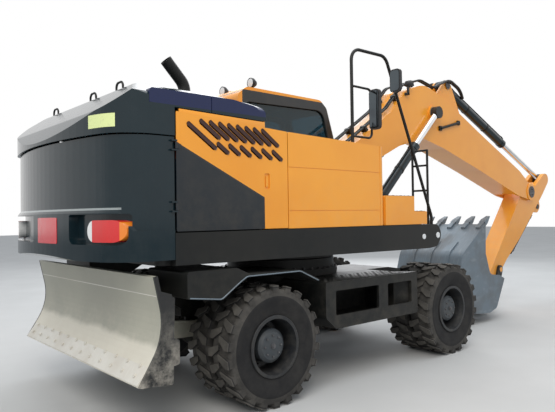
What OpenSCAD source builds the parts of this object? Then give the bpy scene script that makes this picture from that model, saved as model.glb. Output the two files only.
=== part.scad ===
// Wheeled excavator, about 20 tonnes, parked with its boom forward, arm folded and bucket curled.
// X points forward, Y to the left and Z up. The ground is at z = 0.

/* [Undercarriage] */
// Distance between the two axles
wheelbase = 2800; // [2750:10:2900]
// Distance of the rear axle behind the swing axis
rear_axle_back = 1150; // [1120:10:1180]
// Radius of a tyre over its lugs
tyre_r = 530; // [520:5:540]
// Width of one tyre
tyre_w = 278; // [260:2:284]
// Number of lugs on each shoulder of a tyre
lugs = 22; // [18:1:24]
// Width over the outer tyres and over the blade
overall_w = 2500; // [2480:10:2540]
// Half the width of the chassis beam
chassis_half_w = 330; // [300:5:340]
// Height of the chassis beam's top face
chassis_top = 980; // [960:5:1000]
// Width of the dozer blade
blade_w = 2500; // [2460:10:2560]

/* [Upper structure] */
// Distance from the swing axis back to the counterweight's rear face
tail_reach = 2750; // [2700:10:2800]
// Half the width over the side panels
body_half_w = 1220; // [1200:5:1240]
// Height of the deck's underside
deck_z = 1300; // [1290:5:1320]
// Height of the side panels' lower edge
panel_bottom = 1555; // [1540:5:1570]
// Height of the cab roof
cab_top = 3240; // [3200:10:3260]
// Thickness of the cab's walls and door
cab_wall = 55; // [45:5:65]
// Thickness of the hood and of the doors in the sides
sheet = 30; // [20:2:36]

/* [Working gear] */
// Half the width of the boom's box section
boom_half_w = 210; // [200:2:212]
// Half the width of the arm's box section
arm_half_w = 155; // [145:5:158]
// Radius of the chromed boom cylinder rods
boom_rod_r = 45; // [38:1:48]
// Outside radius of the boom cylinder barrels
boom_barrel_r = 66; // [60:1:68]
// Width of the bucket
bucket_w = 1110; // [1000:10:1160]
// Number of bucket teeth
teeth = 5; // [4:1:6]

/* [Hidden] */

$fn = 48;
fit = 0.1;       // radial clearance of a pin in its eye
slide_fit = 0.5; // radial clearance of a rod in its barrel
swing_x = -2065; // the swing axis in the machine's frame, whose origin is under the middle of its length

yellow = "#f2a21c";
navy = "#16303a";
black = "#26282a";
steel = "#8d9aa0";
chrome = "#cfd4d6";

// One corner of an outline at b, rounded to b's radius between its neighbours a and c
function corner(a, b, c) =
    let(here = [b[0], b[1]],
        u = ([a[0], a[1]] - here) / norm([a[0], a[1]] - here),
        v = ([c[0], c[1]] - here) / norm([c[0], c[1]] - here),
        half = acos(u * v) / 2)
    b[2] == 0 ? [here] :
    let(centre = here + (u + v) / norm(u + v) * b[2] / sin(half),
        start = here + u * b[2] / tan(half) - centre,
        finish = here + v * b[2] / tan(half) - centre,
        from = atan2(start[1], start[0]),
        turn = (atan2(finish[1], finish[0]) - from + 540) % 360 - 180,
        steps = max(2, ceil(abs(turn) / (b[2] > 150 ? 6 : 15))))
    [for (i = [0:steps]) centre + b[2] * [cos(from + turn * i / steps), sin(from + turn * i / steps)]];

// A closed outline from rows of [x, y, corner radius]
function outline(rows) =
    let(n = len(rows))
    [for (i = [0:n - 1]) each corner(rows[(i + n - 1) % n], rows[i], rows[(i + 1) % n])];

// A side profile of (x, z), as thick as from y0 to y1
module side(y0, y1) {
    translate([0, y1, 0]) rotate([90, 0, 0]) linear_extrude(y1 - y0) children();
}

// A plan profile of (x, y), as high as from z0 to z1
module plan(z0, z1) {
    translate([0, 0, z0]) linear_extrude(z1 - z0) children();
}

// A front profile of (y, z), as long as from x0 to x1
module across(x0, x1) {
    translate([x0, 0, 0]) rotate([90, 0, 90]) linear_extrude(x1 - x0) children();
}

// A round bar along Y at point p = [x, z]
module bar_y(p, y0, y1, r) {
    translate([p[0], y0, p[1]]) rotate([-90, 0, 0]) cylinder(h = y1 - y0, r = r);
}

// Children turned by an angle in the side view and set down at point p = [x, z]
module posed(p, angle) {
    translate([p[0], 0, p[1]]) rotate([0, -angle, 0]) children();
}

// The same thing on both sides of the machine
module both_sides() {
    children();
    mirror([0, 1, 0]) children();
}

// Children that are drawn from the swing axis
module at_swing() {
    translate([swing_x, 0, 0]) children();
}

// A block given by its two far corners
module block(low, high) {
    translate(low) cube(high - low);
}

// A bent round tube in the XY plane through rows of [x, y, bend radius]
module bent_tube(rows, r) {
    last = len(rows) - 1;
    points = [for (row = rows) [row[0], row[1]]];
    cut = [for (i = [0:last]) i == 0 || i == last ? 0 :
        rows[i][2] / tan(acos(unit(points[i - 1] - points[i]) * unit(points[i + 1] - points[i])) / 2)];
    for (i = [0:last - 1]) {
        along = unit(points[i + 1] - points[i]);
        a = points[i] + along * cut[i];
        b = points[i + 1] - along * cut[i + 1];
        translate([a[0], a[1], 0]) rotate([0, 0, atan2(along[1], along[0])]) translate([-3, 0, 0]) rotate([0, 90, 0])
            cylinder(h = norm(b - a) + 6, r = r, $fn = 24);
    }
    for (i = [1:last - 1]) {
        u = unit(points[i - 1] - points[i]);
        v = unit(points[i + 1] - points[i]);
        bend = norm(points[i] + u * cut[i] - (points[i] + unit(u + v) * rows[i][2] / sin(acos(u * v) / 2)));
        centre = points[i] + unit(u + v) * rows[i][2] / sin(acos(u * v) / 2);
        start = points[i] + u * cut[i] - centre;
        finish = points[i] + v * cut[i] - centre;
        from = atan2(start[1], start[0]);
        turn = (atan2(finish[1], finish[0]) - from + 540) % 360 - 180;
        translate([centre[0], centre[1], 0]) rotate([0, 0, turn < 0 ? from + turn : from])
            rotate_extrude(angle = abs(turn)) translate([bend, 0]) circle(r = r + 0.6, $fn = 24);
    }
}

function unit(v) = v / norm(v);

// Side view points, [x, z] from the swing axis
rear_hub = [-rear_axle_back, tyre_r];
front_hub = [wheelbase - rear_axle_back, tyre_r];
boom_foot = [350, 1950];
boom_tip = [6000, 2050];
boom_cyl_base = [1120, 1520];
boom_cyl_eye = [2860, 3160];
arm_cyl_base = [3450, 3680];
arm_tail = [6770, 2330];
bucket_pin = [4500, 450];
blade_pivot = [-1450, 620];
blade_cyl_base = [-1660, 930];
blade_cyl_eye = [-2170, 600];

// The arm's own side view: a runs from the boom's tip to the bucket pin, b away from the boom
arm_length = norm(bucket_pin - boom_tip);
arm_angle = 180 + atan2(boom_tip[1] - bucket_pin[1], boom_tip[0] - bucket_pin[0]);
function on_arm(p) = boom_tip + p[0] * [cos(arm_angle), sin(arm_angle)] + p[1] * [-sin(arm_angle), cos(arm_angle)];
bucket_cyl_base = [-150, 550];
rocker_pivot = [arm_length - 420, 80];
rocker_angle = 20.1;
rocker_length = 480;
rocker_end = rocker_pivot + rocker_length * [cos(rocker_angle), sin(rocker_angle)];
link_pin = [arm_length + 420, 0];
pin_on_arm = [(arm_tail - boom_tip) * [cos(arm_angle), sin(arm_angle)],
    (arm_tail - boom_tip) * [-sin(arm_angle), cos(arm_angle)]];

// Cylinders: barrel length, rod length, barrel and rod radius, eye radius, pin radius
boom_cyl = [1620, 1620, boom_barrel_r, boom_rod_r, 88, 42];
arm_cyl = [2050, 1900, 72, 48, 90, 42];
bucket_cyl = [1280, 1350, 62, 42, 78, 38];
blade_cyl = [420, 470, 50, 30, 55, 25];
boom_cyl_y = 288;
boom_eye_half = 48;
blade_cyl_y = 250;

front_wheel_y = 560;
slew_r = 660; // radius of the slewing ring's flange
twin_gap = 40;
lashing_r = 32;
lifting_r = 26;
lashing_x = [2180];
tyre_outer_y = overall_w / 2 - tyre_w / 2;
tyre_inner_y = tyre_outer_y - tyre_w - twin_gap;
bead_r = 255;
groove_r = tyre_r - 30; // radius of the tread between the lugs
lug_root = 26; // how far a lug reaches into the carcass
spindle_r = 70;
kingpin_r = 32;
rail_r = 17;

// Barrel along X from its base pin at the origin, open at the far end for the rod
module barrel(cyl, eye_half) {
    difference() {
        union() {
            translate([cyl[4] * 0.7, 0, 0]) rotate([0, 90, 0]) cylinder(h = cyl[0] - cyl[4] * 0.7, r = cyl[2]);
            translate([cyl[0] - 90, 0, 0]) rotate([0, 90, 0]) cylinder(h = 90, r = cyl[2] + 6);
            bar_y([0, 0], -eye_half, eye_half, cyl[4]);
        }
        translate([cyl[4] + 35, 0, 0]) rotate([0, 90, 0]) cylinder(h = cyl[0], r = cyl[3] + slide_fit);
        bar_y([0, 0], -eye_half - 1, eye_half + 1, cyl[5] + fit);
    }
}

// Rod along X whose eye, with its own pin stub, is the given distance from the base pin
module rod(cyl, reach, eye_half) {
    translate([reach - cyl[1], 0, 0]) rotate([0, 90, 0]) cylinder(h = cyl[1] - cyl[4] * 0.6, r = cyl[3]);
    bar_y([reach, 0], -eye_half, eye_half, cyl[4]);
}

// Carcass with two staggered rows of lugs that run from the shoulders to the middle
module one_tyre(y) {
    half = tyre_w / 2;
    // Rows of [radius, y from the tyre's middle, corner radius]
    carcass = outline([
        [bead_r, -105, 0], [300, -118, 30], [420, -half, 80], [groove_r - 12, -half + 8, 20],
        [groove_r, -half + 34, 0], [groove_r, half - 34, 0], [groove_r - 12, half - 8, 20], [420, half, 80],
        [300, 118, 30], [bead_r, 105, 0]
    ]);
    // Rows of [distance along the tread, y]
    lug = [[-30, half - 4], [34, half - 4], [78, 2], [34, 2], [-30, half - 48]];
    translate([0, y, 0]) {
        rotate([-90, 0, 0]) rotate_extrude($fn = 96) polygon(carcass);
        for (i = [0:lugs - 1], shoulder = [-1, 1])
            rotate([0, (i + (shoulder + 1) / 4) * 360 / lugs, 0]) on_side(shoulder)
                translate([0, 0, groove_r - lug_root]) linear_extrude(tyre_r - groove_r + lug_root) polygon(lug);
    }
}

module tyre_pair(hub, side_sign) {
    color(black) at_swing() translate([hub[0], 0, hub[1]]) {
        one_tyre(side_sign * tyre_outer_y);
        one_tyre(side_sign * tyre_inner_y);
    }
}

// Both rims of a pair, with the hub drum they are bolted to and the spindle's bore
module rim_pair(hub, side_sign) {
    inner = tyre_inner_y - tyre_w / 2 + 10;
    middle = (tyre_inner_y + tyre_outer_y) / 2;
    outer = tyre_outer_y + tyre_w / 2 - 12;
    // Rows of [radius, y, corner radius]
    shape = outline([
        [spindle_r + fit, inner - 4, 0], [150, inner - 4, 0], [165, middle - 30, 0], [bead_r - 22, middle - 30, 0],
        [bead_r - 22, inner, 0], [bead_r + 18, inner, 6], [bead_r + 18, inner + 14, 0], [bead_r, inner + 16, 0],
        [bead_r, outer - 16, 0], [bead_r + 18, outer - 14, 0], [bead_r + 18, outer, 6], [bead_r - 12, outer, 0],
        [bead_r - 22, outer - 60, 0], [bead_r - 26, middle + 40, 20], [175, middle + 22, 20], [158, middle + 40, 0],
        [150, outer - 70, 12], [120, outer - 46, 8], [60, outer - 40, 0], [0, outer - 40, 0],
        [0, outer - 90, 0], [spindle_r + fit, outer - 90, 0]
    ]);
    color("#3a3d40") at_swing() translate([hub[0], 0, hub[1]]) on_side(side_sign)
        rotate([-90, 0, 0]) rotate_extrude($fn = 72) polygon(shape);
}

// Mirrors children to the right side for sign -1
module on_side(sign) {
    if (sign < 0) mirror([0, 1, 0]) children();
    else children();
}

module chassis() {
    beam = outline([
        [-1550, 725, 20], [-1550, 980, 20], [1600, chassis_top, 60], [2140, 900, 30], [2140, 735, 20],
        [1300, 735, 60], [1120, 560, 60], [-480, 560, 60], [-645, 725, 60]
    ]);
    color(black) at_swing() {
        side(-chassis_half_w, chassis_half_w) polygon(beam);
        both_sides() for (x = lashing_x) difference() {
            side(270, 300) polygon(outline([
                [x - 90, 770, 0], [x + 60, 780, 50], [x + 60, 900, 50], [x - 90, 890, 0]]));
            bar_y([x, 840], 200, 400, lashing_r);
        }
        block([-460, -560, 600], [1000, 560, chassis_top - 2]);
        plan(chassis_top - 10, 1090) difference() {
            circle(r = slew_r, $fn = 96);
            circle(r = 470, $fn = 96);
        }
        plan(1090, 1195) difference() {
            circle(r = 620, $fn = 96);
            circle(r = 520, $fn = 96);
        }
        both_sides() {
            side(chassis_half_w - 30, chassis_half_w) polygon(outline([
                [-1500, 980, 0], [-1500, 540, 0], [-1400, 540, 50], [-1300, 700, 0], [-1300, 980, 0]]));
            bar_y(blade_pivot, chassis_half_w - 10, 424, 36);
            difference() {
                side(blade_cyl_y - 85, blade_cyl_y - 60) polygon(blade_lug);
                bar_y(blade_cyl_base, 0, 400, blade_cyl[5]);
            }
            difference() {
                side(blade_cyl_y + 62, blade_cyl_y + 86) polygon(blade_lug);
                bar_y(blade_cyl_base, 0, 400, blade_cyl[5]);
            }
            bar_y(blade_cyl_base, blade_cyl_y - 85, blade_cyl_y + 86, blade_cyl[5]);
        }
    }
}
blade_lug = outline([
    [-1540, 980, 0], [-1660, 985, 50], [-1720, 920, 50], [-1660, 870, 50], [-1540, 800, 0]
]);

// Step frames between the wheels, with two windows and a tread deck on each side
module side_steps() {
    frame = outline([
        [-470, 1020, 20], [1010, 1020, 20], [1010, 560, 20], [-330, 560, 60], [-470, 680, 60]
    ]);
    inside = outline([
        [-440, 990, 10], [980, 990, 10], [980, 590, 10], [-320, 590, 50], [-440, 690, 50]
    ]);
    // Rows of [x start, x end] of the two windows in the outer plate
    windows = [[-330, 330], [480, 900]];
    color(black) at_swing() both_sides() {
        difference() {
            side(560, 1190) polygon(frame);
            difference() {
                side(592, 1160) polygon(inside);
                plan(500, 1100) polygon([[808, 500], [808, 1012], [966, 1160], [1020, 1160], [1020, 500]]);
            }
            // The inner corner stands back from the steered wheels
            plan(500, 1100) polygon([[838, 500], [838, 1000], [1020, 1171], [1020, 500]]);
            plan(900, 1100) circle(r = slew_r + 2);
            for (row = windows) side(1100, 1200) polygon(outline([
                [row[0], 690, 20], [row[1], 690, 20], [row[1], 930, 20], [row[0], 930, 20]]));
        }
    }
}

module fenders() {
    top_face = [[-2040, 1035, 20], [-2040, 1245, 20], [-1560, 1245, 60], [-1440, 1190, 60], [-840, 1178, 60], [-600, 1072, 0]];
    under = [[-610, 1058, 0], [-845, 1164, 60], [-1455, 1164, 40], [-1535, 1118, 40], [-1719, 997, 40]];
    color(black) at_swing() both_sides() {
        side(620, overall_w / 2 - 10) polygon(outline(concat(top_face, under)));
        block([-1290, chassis_half_w, 940], [-1000, 640, 975]);
        block([-1290, 610, 940], [-1000, 640, 1172]);
    }
}

// Axle housing turned from half of its outline, whose end is given as rows of [radius, y]
module housing(ends) {
    // Rows of [radius, y, corner radius] from the middle out
    middle = [[190, 0, 0], [180, 90, 60], [120, 190, 60], [95, 300, 0]];
    half = concat(middle, [for (row = ends) [row[0], row[1], 0]]);
    last = len(half) - 1;
    tip = ends[len(ends) - 1][1];
    rotate([-90, 0, 0]) rotate([0, 0, 60]) rotate_extrude() polygon(outline(concat(
        [[0, -tip, 0]], [for (i = [last:-1:1]) [half[i][0], -half[i][1], half[i][2]]],
        half, [[0, tip, 0]])));
}

module front_axle() {
    color(black) at_swing() translate([front_hub[0], 0, front_hub[1]]) {
        housing([[95, 470]]);
        translate([-330, 0, 0]) rotate([0, 90, 0]) cylinder(h = 200, r1 = 75, r2 = 130);
        translate([-120, -110, 60]) cube([240, 220, 145]);
        both_sides() {
            difference() {
                block([-80, 440, -215], [80, 620, 215]);
                block([-90, 488, -165], [90, 640, 165]);
            }
            translate([0, front_wheel_y, -215]) cylinder(h = 430, r = kingpin_r);
        }
        translate([-190, -330, -40]) rotate([-90, 0, 0]) cylinder(h = 660, r = 38);
        both_sides() block([-200, 300, -75], [-60, 330, -5]);
    }
}

// Steering knuckle: a boss round the kingpin and the spindle its wheel pair runs on
module knuckle(side_sign) {
    color(black) at_swing() translate([front_hub[0], 0, front_hub[1]]) on_side(side_sign) difference() {
        union() {
            translate([0, front_wheel_y, -160]) cylinder(h = 320, r = 66);
            bar_y([0, 0], front_wheel_y + 20, 655, 110);
            bar_y([0, 0], front_wheel_y, 1080, spindle_r);
        }
        translate([0, front_wheel_y, -161]) cylinder(h = 322, r = kingpin_r + fit);
    }
}

module rear_axle() {
    color(black) at_swing() translate([rear_hub[0], 0, rear_hub[1]]) {
        // The hub carriers and the spindles that the wheels run on
        housing([[95, 460], [125, 460], [125, 655], [spindle_r, 655], [spindle_r, 1080]]);
        across(60, 330) polygon(outline([[-85, -85, 40], [-85, 85, 40], [85, 85, 40], [85, -85, 40]]));
        both_sides() block([-100, 210, 60], [100, 285, 195]);
    }
}

module driveline() {
    color("#33383a") at_swing() {
        block([-330, -210, 400], [130, 210, 555]);
        translate([130, 0, 500]) rotate([0, 90, 0]) cylinder(h = 1190, r = 48);
        translate([-820, 0, 500]) rotate([0, 90, 0]) cylinder(h = 490, r = 48);
        for (x = [120, -410]) translate([x, 0, 500]) rotate([0, 90, 0]) cylinder(h = 90, r = 57);
    }
}

module blade() {
    // Moldboard with its top fold and torsion box: the hollow face looks to the rear
    face = outline([
        [-2460, 446, 0], [-2235, 800, 500], [-2330, 1230, 0], [-2300, 1236, 0], [-2275, 1122, 0], [-2180, 1090, 0],
        [-2190, 1066, 0], [-2262, 1062, 0], [-2240, 960, 150], [-2238, 790, 0], [-2120, 745, 20], [-2120, 560, 20],
        [-2290, 540, 0], [-2425, 436, 0]
    ]);
    cheek = outline([
        [-2440, 442, 0], [-2223, 800, 500], [-2290, 1085, 0], [-2157, 1070, 20], [-2175, 416, 20]
    ]);
    arm = outline([
        [-2180, 745, 0], [-1900, 735, 100], [blade_pivot[0], 693, 0], [blade_pivot[0], 547, 0],
        [-1900, 560, 100], [-2180, 500, 0]
    ]);
    lug = outline([
        [-2230, 740, 0], [-2140, 670, 60], [-2100, 600, 60], [-2160, 535, 60], [-2230, 540, 0]
    ]);
    rib = [[-2245, 740], [-2135, 740], [-2205, 1070], [-2250, 1070], [-2245, 960]];
    color(steel) at_swing() {
        difference() {
            side(-blade_w / 2, blade_w / 2) polygon(face);
            // Room for the rods' eyes in the torsion box
            both_sides() side(blade_cyl_y - 62, blade_cyl_y + 62)
                polygon([[-2245, 500], [-2245, 760], [-2100, 760], [-2100, 500]]);
        }
        both_sides() side(blade_w / 2 - 21, blade_w / 2 - 1) polygon(cheek);
        both_sides() {
            difference() {
                union() {
                    side(362, 420) polygon(arm);
                    bar_y(blade_pivot, 362, 420, 80);
                }
                bar_y(blade_pivot, 300, 500, 36 + fit);
            }
            for (y = [620, 930]) side(y, y + 16) polygon(rib);
            for (y = [blade_cyl_y - 85, blade_cyl_y + 60]) difference() {
                side(y, y + 25) polygon(lug);
                bar_y(blade_cyl_eye, y - 10, y + 40, blade_cyl[5]);
            }
        }
    }
}

blade_cyl_angle = 180 + atan2(blade_cyl_base[1] - blade_cyl_eye[1], blade_cyl_base[0] - blade_cyl_eye[0]);

module blade_barrels() {
    color(black) at_swing() both_sides() translate([0, blade_cyl_y, 0])
        posed(blade_cyl_base, blade_cyl_angle) barrel(blade_cyl, 38);
}

module blade_rods() {
    color(chrome) at_swing() both_sides() translate([0, blade_cyl_y, 0])
        posed(blade_cyl_base, blade_cyl_angle) rod(blade_cyl, norm(blade_cyl_eye - blade_cyl_base), 50);
}

module swing_frame() {
    deck = outline([
        [-2240, -1150, 60], [1440, -1150, 60], [1440, -430, 40], [1080, -430, 20], [1080, 430, 20],
        [1440, 430, 40], [1440, 1150, 60], [-2240, 1150, 60]
    ]);
    girder = outline([
        [-2100, 1340, 0], [-2100, 1440, 40], [-1230, 1440, 60], [-1120, 1700, 100], [-300, 1760, 200],
        [150, 2050, 60], [270, 2110, 80], [440, 2110, 80],
        [520, 1980, 80], [700, 1640, 100], [1020, 1600, 40], [1020, 1340, 0]
    ]);
    // Foot of a boom cylinder's lug, below its round end
    lug_foot = [[990, 1340], [990, 1480], [1079, 1561], [1170, 1491], [1150, 1340]];
    color(black) at_swing() {
        plan(deck_z, 1345) polygon(deck);
        plan(1206, deck_z + 5) difference() {
            circle(r = 620, $fn = 96);
            circle(r = 470, $fn = 96);
        }
        both_sides() difference() {
            side(300, 334) polygon(girder);
            bar_y(boom_foot, 200, 400, 60);
        }
        bar_y(boom_foot, -334, 334, 60 - fit);
        block([980, -358, 1340], [1020, 358, 1470]);
        block([-2100, -330, 1340], [-2060, 330, 1430]);
        // Rubber mounts under the cab
        for (x = [-240, 960], y = [470, 1090]) translate([x, y, 1340]) cylinder(h = cab_floor - 1340, r = 45);
        both_sides() {
            for (row = [[boom_cyl_y - 72, boom_cyl_y - 54], [boom_cyl_y + 54, boom_cyl_y + 70]]) {
                side(row[0], row[1]) polygon(lug_foot);
                bar_y(boom_cyl_base, row[0], row[1], 58);
            }
            bar_y(boom_cyl_base, boom_cyl_y - 72, boom_cyl_y + 70, boom_cyl[5]);
        }
    }
}

module side_skirts() {
    right = outline([
        [-2130, 1300, 0], [-2130, panel_bottom - 5, 0], [1380, panel_bottom - 5, 110], [1480, 1440, 110],
        [1380, 1290, 110], [1200, 1275, 60]
    ]);
    left = outline([
        [-2130, 1300, 0], [-2130, panel_bottom - 5, 0], [-335, panel_bottom - 5, 20], [-335, cab_floor - 8, 20],
        [1440, cab_floor - 8, 50], [1440, 1290, 50], [1200, 1275, 60]
    ]);
    color(black) at_swing() {
        side(-body_half_w - 5, -1150) polygon(right);
        side(1150, body_half_w + 5) polygon(left);
    }
}

// Plan of the bowed tail with its big round corners, shrunk by the inset
module tail_plan(inset) {
    half = body_half_w - inset;
    centre = bow_r - tail_reach;
    function bow_x(y) = centre - sqrt(pow(bow_r - inset, 2) - y * y);
    polygon(outline(concat(
        [[-1200 - inset, -half, 0], [bow_x(half), -half, 350 - inset]],
        [for (y = [-900:100:900]) [bow_x(y), y, 0]],
        [[bow_x(half), half, 350 - inset], [-1200 - inset, half, 0]])));
}

bow_r = 3900; // radius of the tail's bow
band_step = 22; // how far the tail's lower band stands out
recess_depth = 70; // depth of the lamp pockets in the tail

module counterweight() {
    // Rows of [y start, y end] of the two pockets in the tail
    pockets = [[-1160, -590], [100, 1160]];
    color(navy) at_swing() difference() {
        union() {
            plan(1345, 2285) translate([band_step, 0]) tail_plan(5);
            plan(1345, 1573) tail_plan(0);
            // The band is higher across the rear and ends in a sloping ledge
            intersection() {
                union() {
                    plan(1500, 1710) tail_plan(0);
                    hull() {
                        plan(1700, 1710) tail_plan(0);
                        plan(1740, 1745) tail_plan(band_step + 5);
                    }
                }
                across(-2800, -2300) polygon([[-1185, 1560], [-1090, 1745], [1090, 1745], [1185, 1560]]);
            }
        }
        block([-2130, -1300, 1300], [-1000, 1300, 2400]);
        // Eyes of the door hinges
        for (y = [-1, 1], z = hinge_z) translate([door_hinge[0], y * door_hinge[1], z - 60])
            cylinder(h = 120, r = 16);
        for (row = pockets) intersection() {
            difference() {
                plan(1470, 1700) tail_plan(-200);
                plan(1400, 1715) tail_plan(recess_depth);
            }
            across(-3000, -2200) polygon(outline([
                [row[0], 1470, 60], [row[1], 1470, 60], [row[1], 1700, 20], [row[0], 1700, 20]]));
        }
        side(-1300, 1300) polygon([[-2800, 1340], [-2800, 1400], [-2680, 1340]]);
    }
    // Pins of the side doors' hinges, each between two small plates
    color(navy) at_swing() both_sides() for (z = hinge_z) {
        translate([door_hinge[0], door_hinge[1], z - 35]) cylinder(h = 70, r = 5);
        for (low = [z - 42, z + 30])
            block([-2165, body_half_w - 8, low], [door_hinge[0] + 6, door_hinge[1] + 8, low + 12]);
    }
}

// Lamp pods that fill part of the pockets and follow the bowed tail, and a reflector between them
module tail_lamps() {
    color("#c32b22") at_swing() {
        difference() {
            for (s = [-1, 1]) intersection() {
                plan(1490, 1655) tail_plan(4);
                across(-2800, -2400) polygon(outline([
                    [s * 830, 1490, 78], [s * 1150, 1490, 78], [s * 1150, 1655, 78], [s * 830, 1655, 78]]));
            }
            plan(1470, 1660) tail_plan(recess_depth);
        }
        difference() {
            intersection() {
                plan(1400, 1720) tail_plan(-4);
                across(-2800, -2400) polygon(outline([
                    [-400, 1470, 15], [-20, 1470, 15], [-20, 1680, 15], [-400, 1680, 15]]));
            }
            plan(1390, 1730) tail_plan(0);
        }
    }
}

module engine() {
    color("#50565a") at_swing() {
        block([-2000, -600, 1450], [-1250, 620, 2150]);
        both_sides() block([-1900, 345, 1345], [-1350, 440, 1450]);
        translate([-1650, -600, 1800]) rotate([90, 0, 0]) cylinder(h = 330, r = 150);
    }
}

hood_split = -1780;
hood_hinge = [-1783, 2790];
hood_hinge_y = [-300, 420];
// Leaf of the hood's hinge on the fixed side
hinge_leaf = outline([
    [hood_hinge[0] - 12, hood_hinge[1] - 12, 10], [hood_hinge[0] - 12, hood_hinge[1] + 12, 10],
    [hood_hinge[0] + 40, hood_hinge[1] + 8, 10], [hood_hinge[0] + 110, hood_hinge[1] - 58, 0],
    [hood_hinge[0] + 110, hood_hinge[1] - 75, 0], [hood_hinge[0] + 8, hood_hinge[1] - 50, 0],
    [hood_hinge[0] + 8, hood_hinge[1] - 12, 0]
]);

// Hood shell: side profile, plan and crown, shrunk by the inset for its inside
module hood_form(inset) {
    intersection() {
        side(-1300, 1300) polygon(outline([
            [-tail_reach - 20 + inset, 2295 - inset, 0], [-2640 + inset, 2470 - inset * 0.5, 90],
            [-2330 + inset * 0.5, 2720 - inset, 160], [-1900, 2790 - inset, 200], [-1300 - inset, 2665 - inset, 120],
            [-1215 - inset, 2575 - inset, 80], [-1215 - inset, 2492 - inset, 0],
            [-2125, 2515 - inset, 0], [-2125, 2295 - inset, 0]
        ]));
        plan(2200, 2900) tail_plan(inset);
        across(-2800, -1200) polygon(outline([
            [-body_half_w + inset, 2200, 0], [-body_half_w + inset, 2600 - inset, 60], [-900, 2740 - inset, 150],
            [0, 2820 - inset, 900], [900, 2740 - inset, 150], [body_half_w - inset, 2600 - inset, 60],
            [body_half_w - inset, 2200, 0]
        ]));
    }
}

// Raised strip along both edges of the hood
module hood_strips() {
    both_sides() side(body_half_w - 70, body_half_w) polygon(outline([
        [-2338, 2530, 0], [-2338, 2641, 30], [-1560, 2641, 200], [-1320, 2610, 100], [-1222, 2520, 0],
        [-1240, 2510, 0]]));
}

module hood() {
    color(navy) at_swing() intersection() {
        difference() {
            union() {
                hood_form(0);
                hood_strips();
            }
            hood_form(sheet);
        }
        block([-2900, -1300, 2200], [hood_split - 6, 1300, 3000]);
    }
    // Eyes of its hinges
    color(navy) at_swing() for (y = hood_hinge_y) side(y - 34, y + 34) difference() {
        union() {
            translate(hood_hinge) circle(r = 13);
            polygon([[hood_hinge[0] - 90, hood_hinge[1] - 35], [hood_hinge[0] - 90, hood_hinge[1] - 3],
                [hood_hinge[0] - 5, hood_hinge[1] + 11], [hood_hinge[0] - 6, hood_hinge[1] - 50]]);
        }
        translate(hood_hinge) circle(r = 8 + fit);
    }
}

// Fixed strip of the hood, which the exhaust comes up through
module hood_front() {
    color(navy) at_swing() difference() {
        union() {
            hood_form(0);
            hood_strips();
        }
        hood_form(sheet);
        block([-2900, -1300, 2200], [hood_split, 1300, 3000]);
        translate([-1590, -500, 2500]) cylinder(h = 500, r = 62);
    }
    // Bulkhead between the engine and the valves, and the pins of the hood's hinges
    color(navy) at_swing() {
        difference() {
            across(-1245, -1217) polygon([
                [-1148, 1345], [1148, 1345], [1148, 1560], [1180, 1560], [1180, 2500], [-1180, 2500], [-1180, 1560],
                [-1148, 1560]]);
            both_sides() block([-1300, 290, 1300], [-1200, 344, 1485]);
        }
        for (y = hood_hinge_y) {
            bar_y(hood_hinge, y - 70, y + 70, 8);
            for (side_y = [y - 70, y + 40]) side(side_y, side_y + 30) polygon(hinge_leaf);
        }
    }
}

// Three arched grips on the crest of the hood
module hood_handles() {
    // Distance of each grip's middle from the machine's middle plane
    middles = [-650, -120, 800];
    color(black) at_swing() difference() {
        translate([-2300, 0, 0]) for (y = middles) translate([0, y, 0]) rotate([90, 0, 90])
            bent_tube([[-60, 2715, 0], [-60, 2785, 40], [60, 2785, 40], [60, 2715, 0]], 9);
        hood_form(0);
    }
}

module exhaust() {
    color(black) at_swing() translate([-1590, -500, 0]) {
        translate([0, 0, 2150]) cylinder(h = 505, r = 110);
        rotate([90, 0, 0]) difference() {
            bent_tube([[0, 2640, 0], [0, 2890, 150], [-190, 3090, 0]], 55);
            translate([-190, 3090, 0]) rotate([0, 0, atan2(200, -190)]) translate([-120, 0, 0]) rotate([0, 90, 0])
                cylinder(h = 150, r = 48);
        }
    }
}

door_front = -970;
door_rear = -2115;
door_hinge = [-2122, 1232]; // axis of both side doors' hinges in plan
hinge_z = [1750, 2220];

// Side door outline, with the top edge falling a little to the front
module door_profile() {
    polygon(outline([
        [door_rear, panel_bottom + 5, 10], [door_rear, 2485, 10], [door_front, 2425, 10],
        [door_front, panel_bottom + 5, 10]
    ]));
}

// Slanted cooling slots as rows of [x, z, length] from each slot's upper end
louvres = concat(
    [[-2006, 2401, 310]],
    [for (i = [0:7]) [-1890 + 90 * i, 2433 - 3 * i, 215]],
    [for (i = [0:5]) [-1727 + 117 * i, 2262 - 5 * i, 120]]
);
louvre_w = 26;
louvre_slant = 35;

module side_door() {
    color(yellow) at_swing() {
        difference() {
            side(body_half_w - sheet, body_half_w) door_profile();
            for (row = louvres) translate([row[0], 0, row[1]]) rotate([0, louvre_slant, 0])
                side(body_half_w - sheet * 0.6, body_half_w + 5) polygon(outline([
                    [0, -louvre_w, 10], [row[2], -louvre_w, 10], [row[2], 0, 10], [0, 0, 10]]));
            // Pocket of the latch
            side(body_half_w - 12, body_half_w + 5) polygon(outline([
                [-1238, 1905, 10], [-1180, 1905, 10], [-1180, 2040, 10], [-1238, 2040, 10]]));
        }
        block([-1222, body_half_w - 16, 1925], [-1196, body_half_w - 2, 2015]);
        for (z = hinge_z) difference() {
            union() {
                translate([door_hinge[0], door_hinge[1], z - 25]) cylinder(h = 50, r = 10);
                block([door_hinge[0], door_hinge[1] - 15, z - 25], [door_rear + 40, door_hinge[1] - 5, z + 25]);
            }
            translate([door_hinge[0], door_hinge[1], z - 30]) cylinder(h = 60, r = 5 + fit);
        }
    }
}

module pump_door() {
    mirror([0, 1, 0]) side_door();
}

module radiator_door() {
    side_door();
}

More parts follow.
